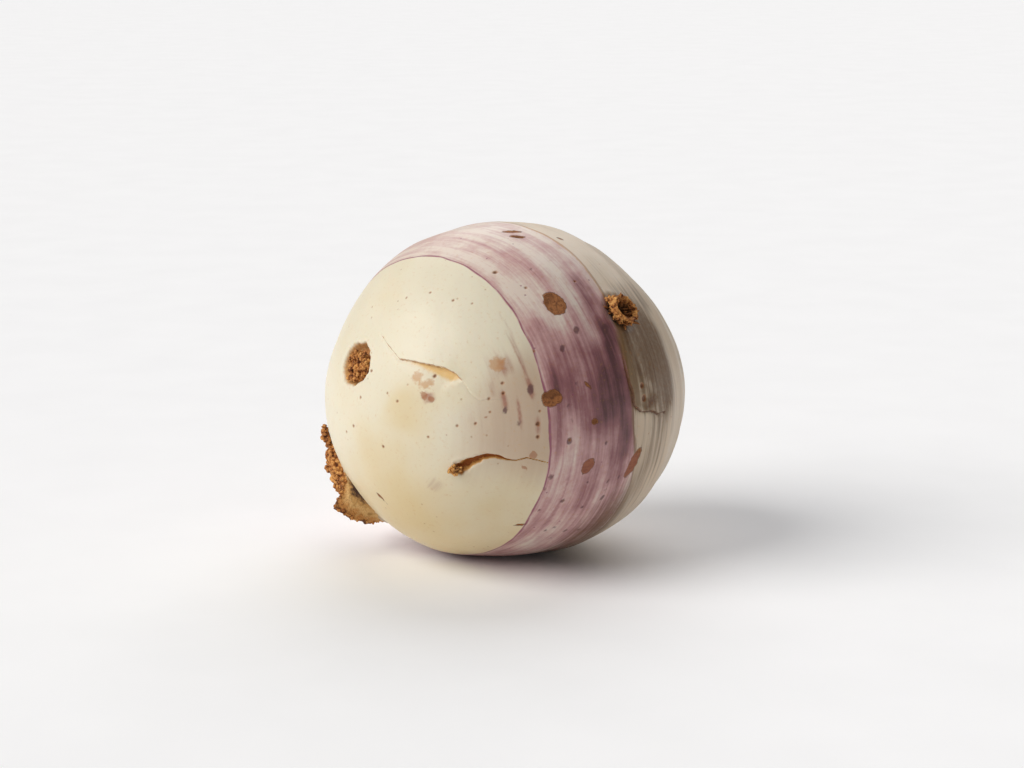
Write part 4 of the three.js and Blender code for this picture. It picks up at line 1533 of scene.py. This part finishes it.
class TURNIP_OT_leaf_stalks(bpy.types.Operator):
    """Builds the leaf stalks cut short on the crown, in the spiral in which leaves grow"""

    bl_idname = "turnip.leaf_stalks"
    bl_label = "Leaf stalks"

    count = 11
    sides = 28

    def execute(self, context):
        looks = context.scene.turnip_crown_looks
        places, facing, side, extent = [], [], [], []
        for i in range(self.count):
            turn = i * GOLDEN_ANGLE
            distance = STALKS["first"] + STALKS["spacing"] * math.sqrt(i)
            foot = CROWN_SEAT.around(turn, distance, -STALKS["sunk"])
            outward = unit(foot - CROWN * (foot @ CROWN))
            axis = unit(CROWN + outward * (STALKS["lean"] + STALKS["more_lean"] * i))
            grown = 1 + STALKS["growth"] * i
            length = STALKS["sunk"] + looks.stalk_length / MM
            places.append(foot)
            facing.append(axis)
            side.append(unit(np.cross(axis, outward)))
            extent.append((STALKS["half_wide"] * grown, STALKS["half_thick"] * grown, length))
        angle = turns(self.sides)
        rib = 1 + STALK_RIBS[1] * np.cos(STALK_RIBS[0] * angle)
        groove = STALK_GROOVE[0] * np.exp(-((angle - 1.5 * np.pi) ** 2) / STALK_GROOVE[1])
        levels = [(share, 1.08 - 0.2 * share, share) for share in np.linspace(0, 1, 8)]
        rings = []
        for height, scale, along in [*levels, *STALK_CUT]:
            ring = [scale * rib * np.cos(angle), scale * (rib * np.sin(angle) + groove), height + 0 * angle]
            rings.append((np.stack(ring, axis=1), along))
        stub = unit_shape("stub", rings, self.sides)
        stalks = stubs("leaf_stalks", places, facing, side, extent, stub, 0.55, stalk_skin(looks))
        attach(stalks, "turnip_skin")
        return {"FINISHED"}


# The camera looks at the root from 12 degrees above, 540 mm away.
CAMERA_LENS = 85.0
SENSOR_WIDTH = 36.0
CAMERA_DISTANCE = 540.0
CAMERA_AIM = (1.79, 1.12)  # millimetres across and up from the root's centre
LIGHTS = [
    # name, direction across, up and towards the camera, strength, degrees wide, colour
    ("softbox_left", (-0.75, 0.53, 0.40), 2.5, 45, "#FFFDF8"),
    ("softbox_behind", (0.15, 0.8, -0.55), 1.4, 60, "#FFFFFF"),
]
WORLD_STRENGTH = 0.19
WORLD_COLOUR = "#F4F4F6"
FLOOR_RADIUS = 14.0  # metres, so that its edge stays out of low views


class TURNIP_OT_stage(bpy.types.Operator):
    """Sets up the camera, the lights and the plain pale floor"""

    bl_idname = "turnip.stage"
    bl_label = "Stage"

    def execute(self, context):
        scene = context.scene
        scene.view_settings.view_transform = "Standard"
        centre = CENTRE * MM
        lens = bpy.data.cameras.new("camera")
        lens.lens = CAMERA_LENS
        lens.sensor_width = SENSOR_WIDTH
        camera = new_object("camera", lens)
        aim = centre + (CAMERA_AIM[0] * ACROSS + CAMERA_AIM[1] * UP) * MM
        camera.location = aim + TOWARD * CAMERA_DISTANCE * MM
        camera.rotation_euler = Vector(-TOWARD).to_track_quat("-Z", "Y").to_euler()
        scene.camera = camera

        for name, (across, up, toward), strength, wide, tint in LIGHTS:
            light = bpy.data.lights.new(name, "SUN")
            light.energy = strength
            light.angle = math.radians(wide)
            light.color = linear(tint)
            lamp = new_object(name, light)
            offset = across * ACROSS + up * UP + toward * TOWARD
            lamp.location = centre + offset
            lamp.rotation_euler = Vector(-offset).to_track_quat("-Z", "Y").to_euler()

        world = bpy.data.worlds.new("studio")
        world.use_nodes = True
        background = world.node_tree.nodes["Background"]
        background.inputs["Color"].default_value = rgba(linear(WORLD_COLOUR))
        background.inputs["Strength"].default_value = WORLD_STRENGTH
        scene.world = world

        board = bmesh.new()
        bmesh.ops.create_circle(board, cap_ends=True, radius=FLOOR_RADIUS, segments=96)
        mesh = bpy.data.meshes.new("floor")
        board.to_mesh(mesh)
        board.free()
        mesh.materials.append(painted_board())
        new_object("floor", mesh)
        return {"FINISHED"}


LOOKS = {
    "turnip_skin_looks": TurnipSkinLooks,
    "turnip_soil_looks": TurnipSoilLooks,
    "turnip_crown_looks": TurnipCrownLooks,
}
OPERATORS = [
    TURNIP_OT_skin,
    TURNIP_OT_tap_root,
    TURNIP_OT_side_root,
    TURNIP_OT_leaf_stalks,
    TURNIP_OT_soil,
    TURNIP_OT_stage,
]


class TURNIP_PT_panel(bpy.types.Panel):
    bl_idname = "TURNIP_PT_panel"
    bl_label = "Turnip"
    bl_space_type = "VIEW_3D"
    bl_region_type = "UI"
    bl_category = "Turnip"

    def draw(self, context):
        for name, group in LOOKS.items():
            box = self.layout.box()
            for prop in group.__annotations__:
                box.prop(getattr(context.scene, name), prop)
        for operator in OPERATORS:
            self.layout.operator(operator.bl_idname)


CLASSES = [*LOOKS.values(), *OPERATORS, TURNIP_PT_panel]


def register():
    for cls in CLASSES:
        bpy.utils.register_class(cls)
    for name, group in LOOKS.items():
        setattr(bpy.types.Scene, name, bpy.props.PointerProperty(type=group))


def unregister():
    for name in LOOKS:
        delattr(bpy.types.Scene, name)
    for cls in reversed(CLASSES):
        bpy.utils.unregister_class(cls)


def main():
    register()
    bpy.ops.turnip.stage()
    bpy.ops.turnip.skin()
    bpy.ops.turnip.tap_root()
    bpy.ops.turnip.side_root()
    bpy.ops.turnip.leaf_stalks()
    bpy.ops.turnip.soil()


if __name__ == "__main__":
    main()
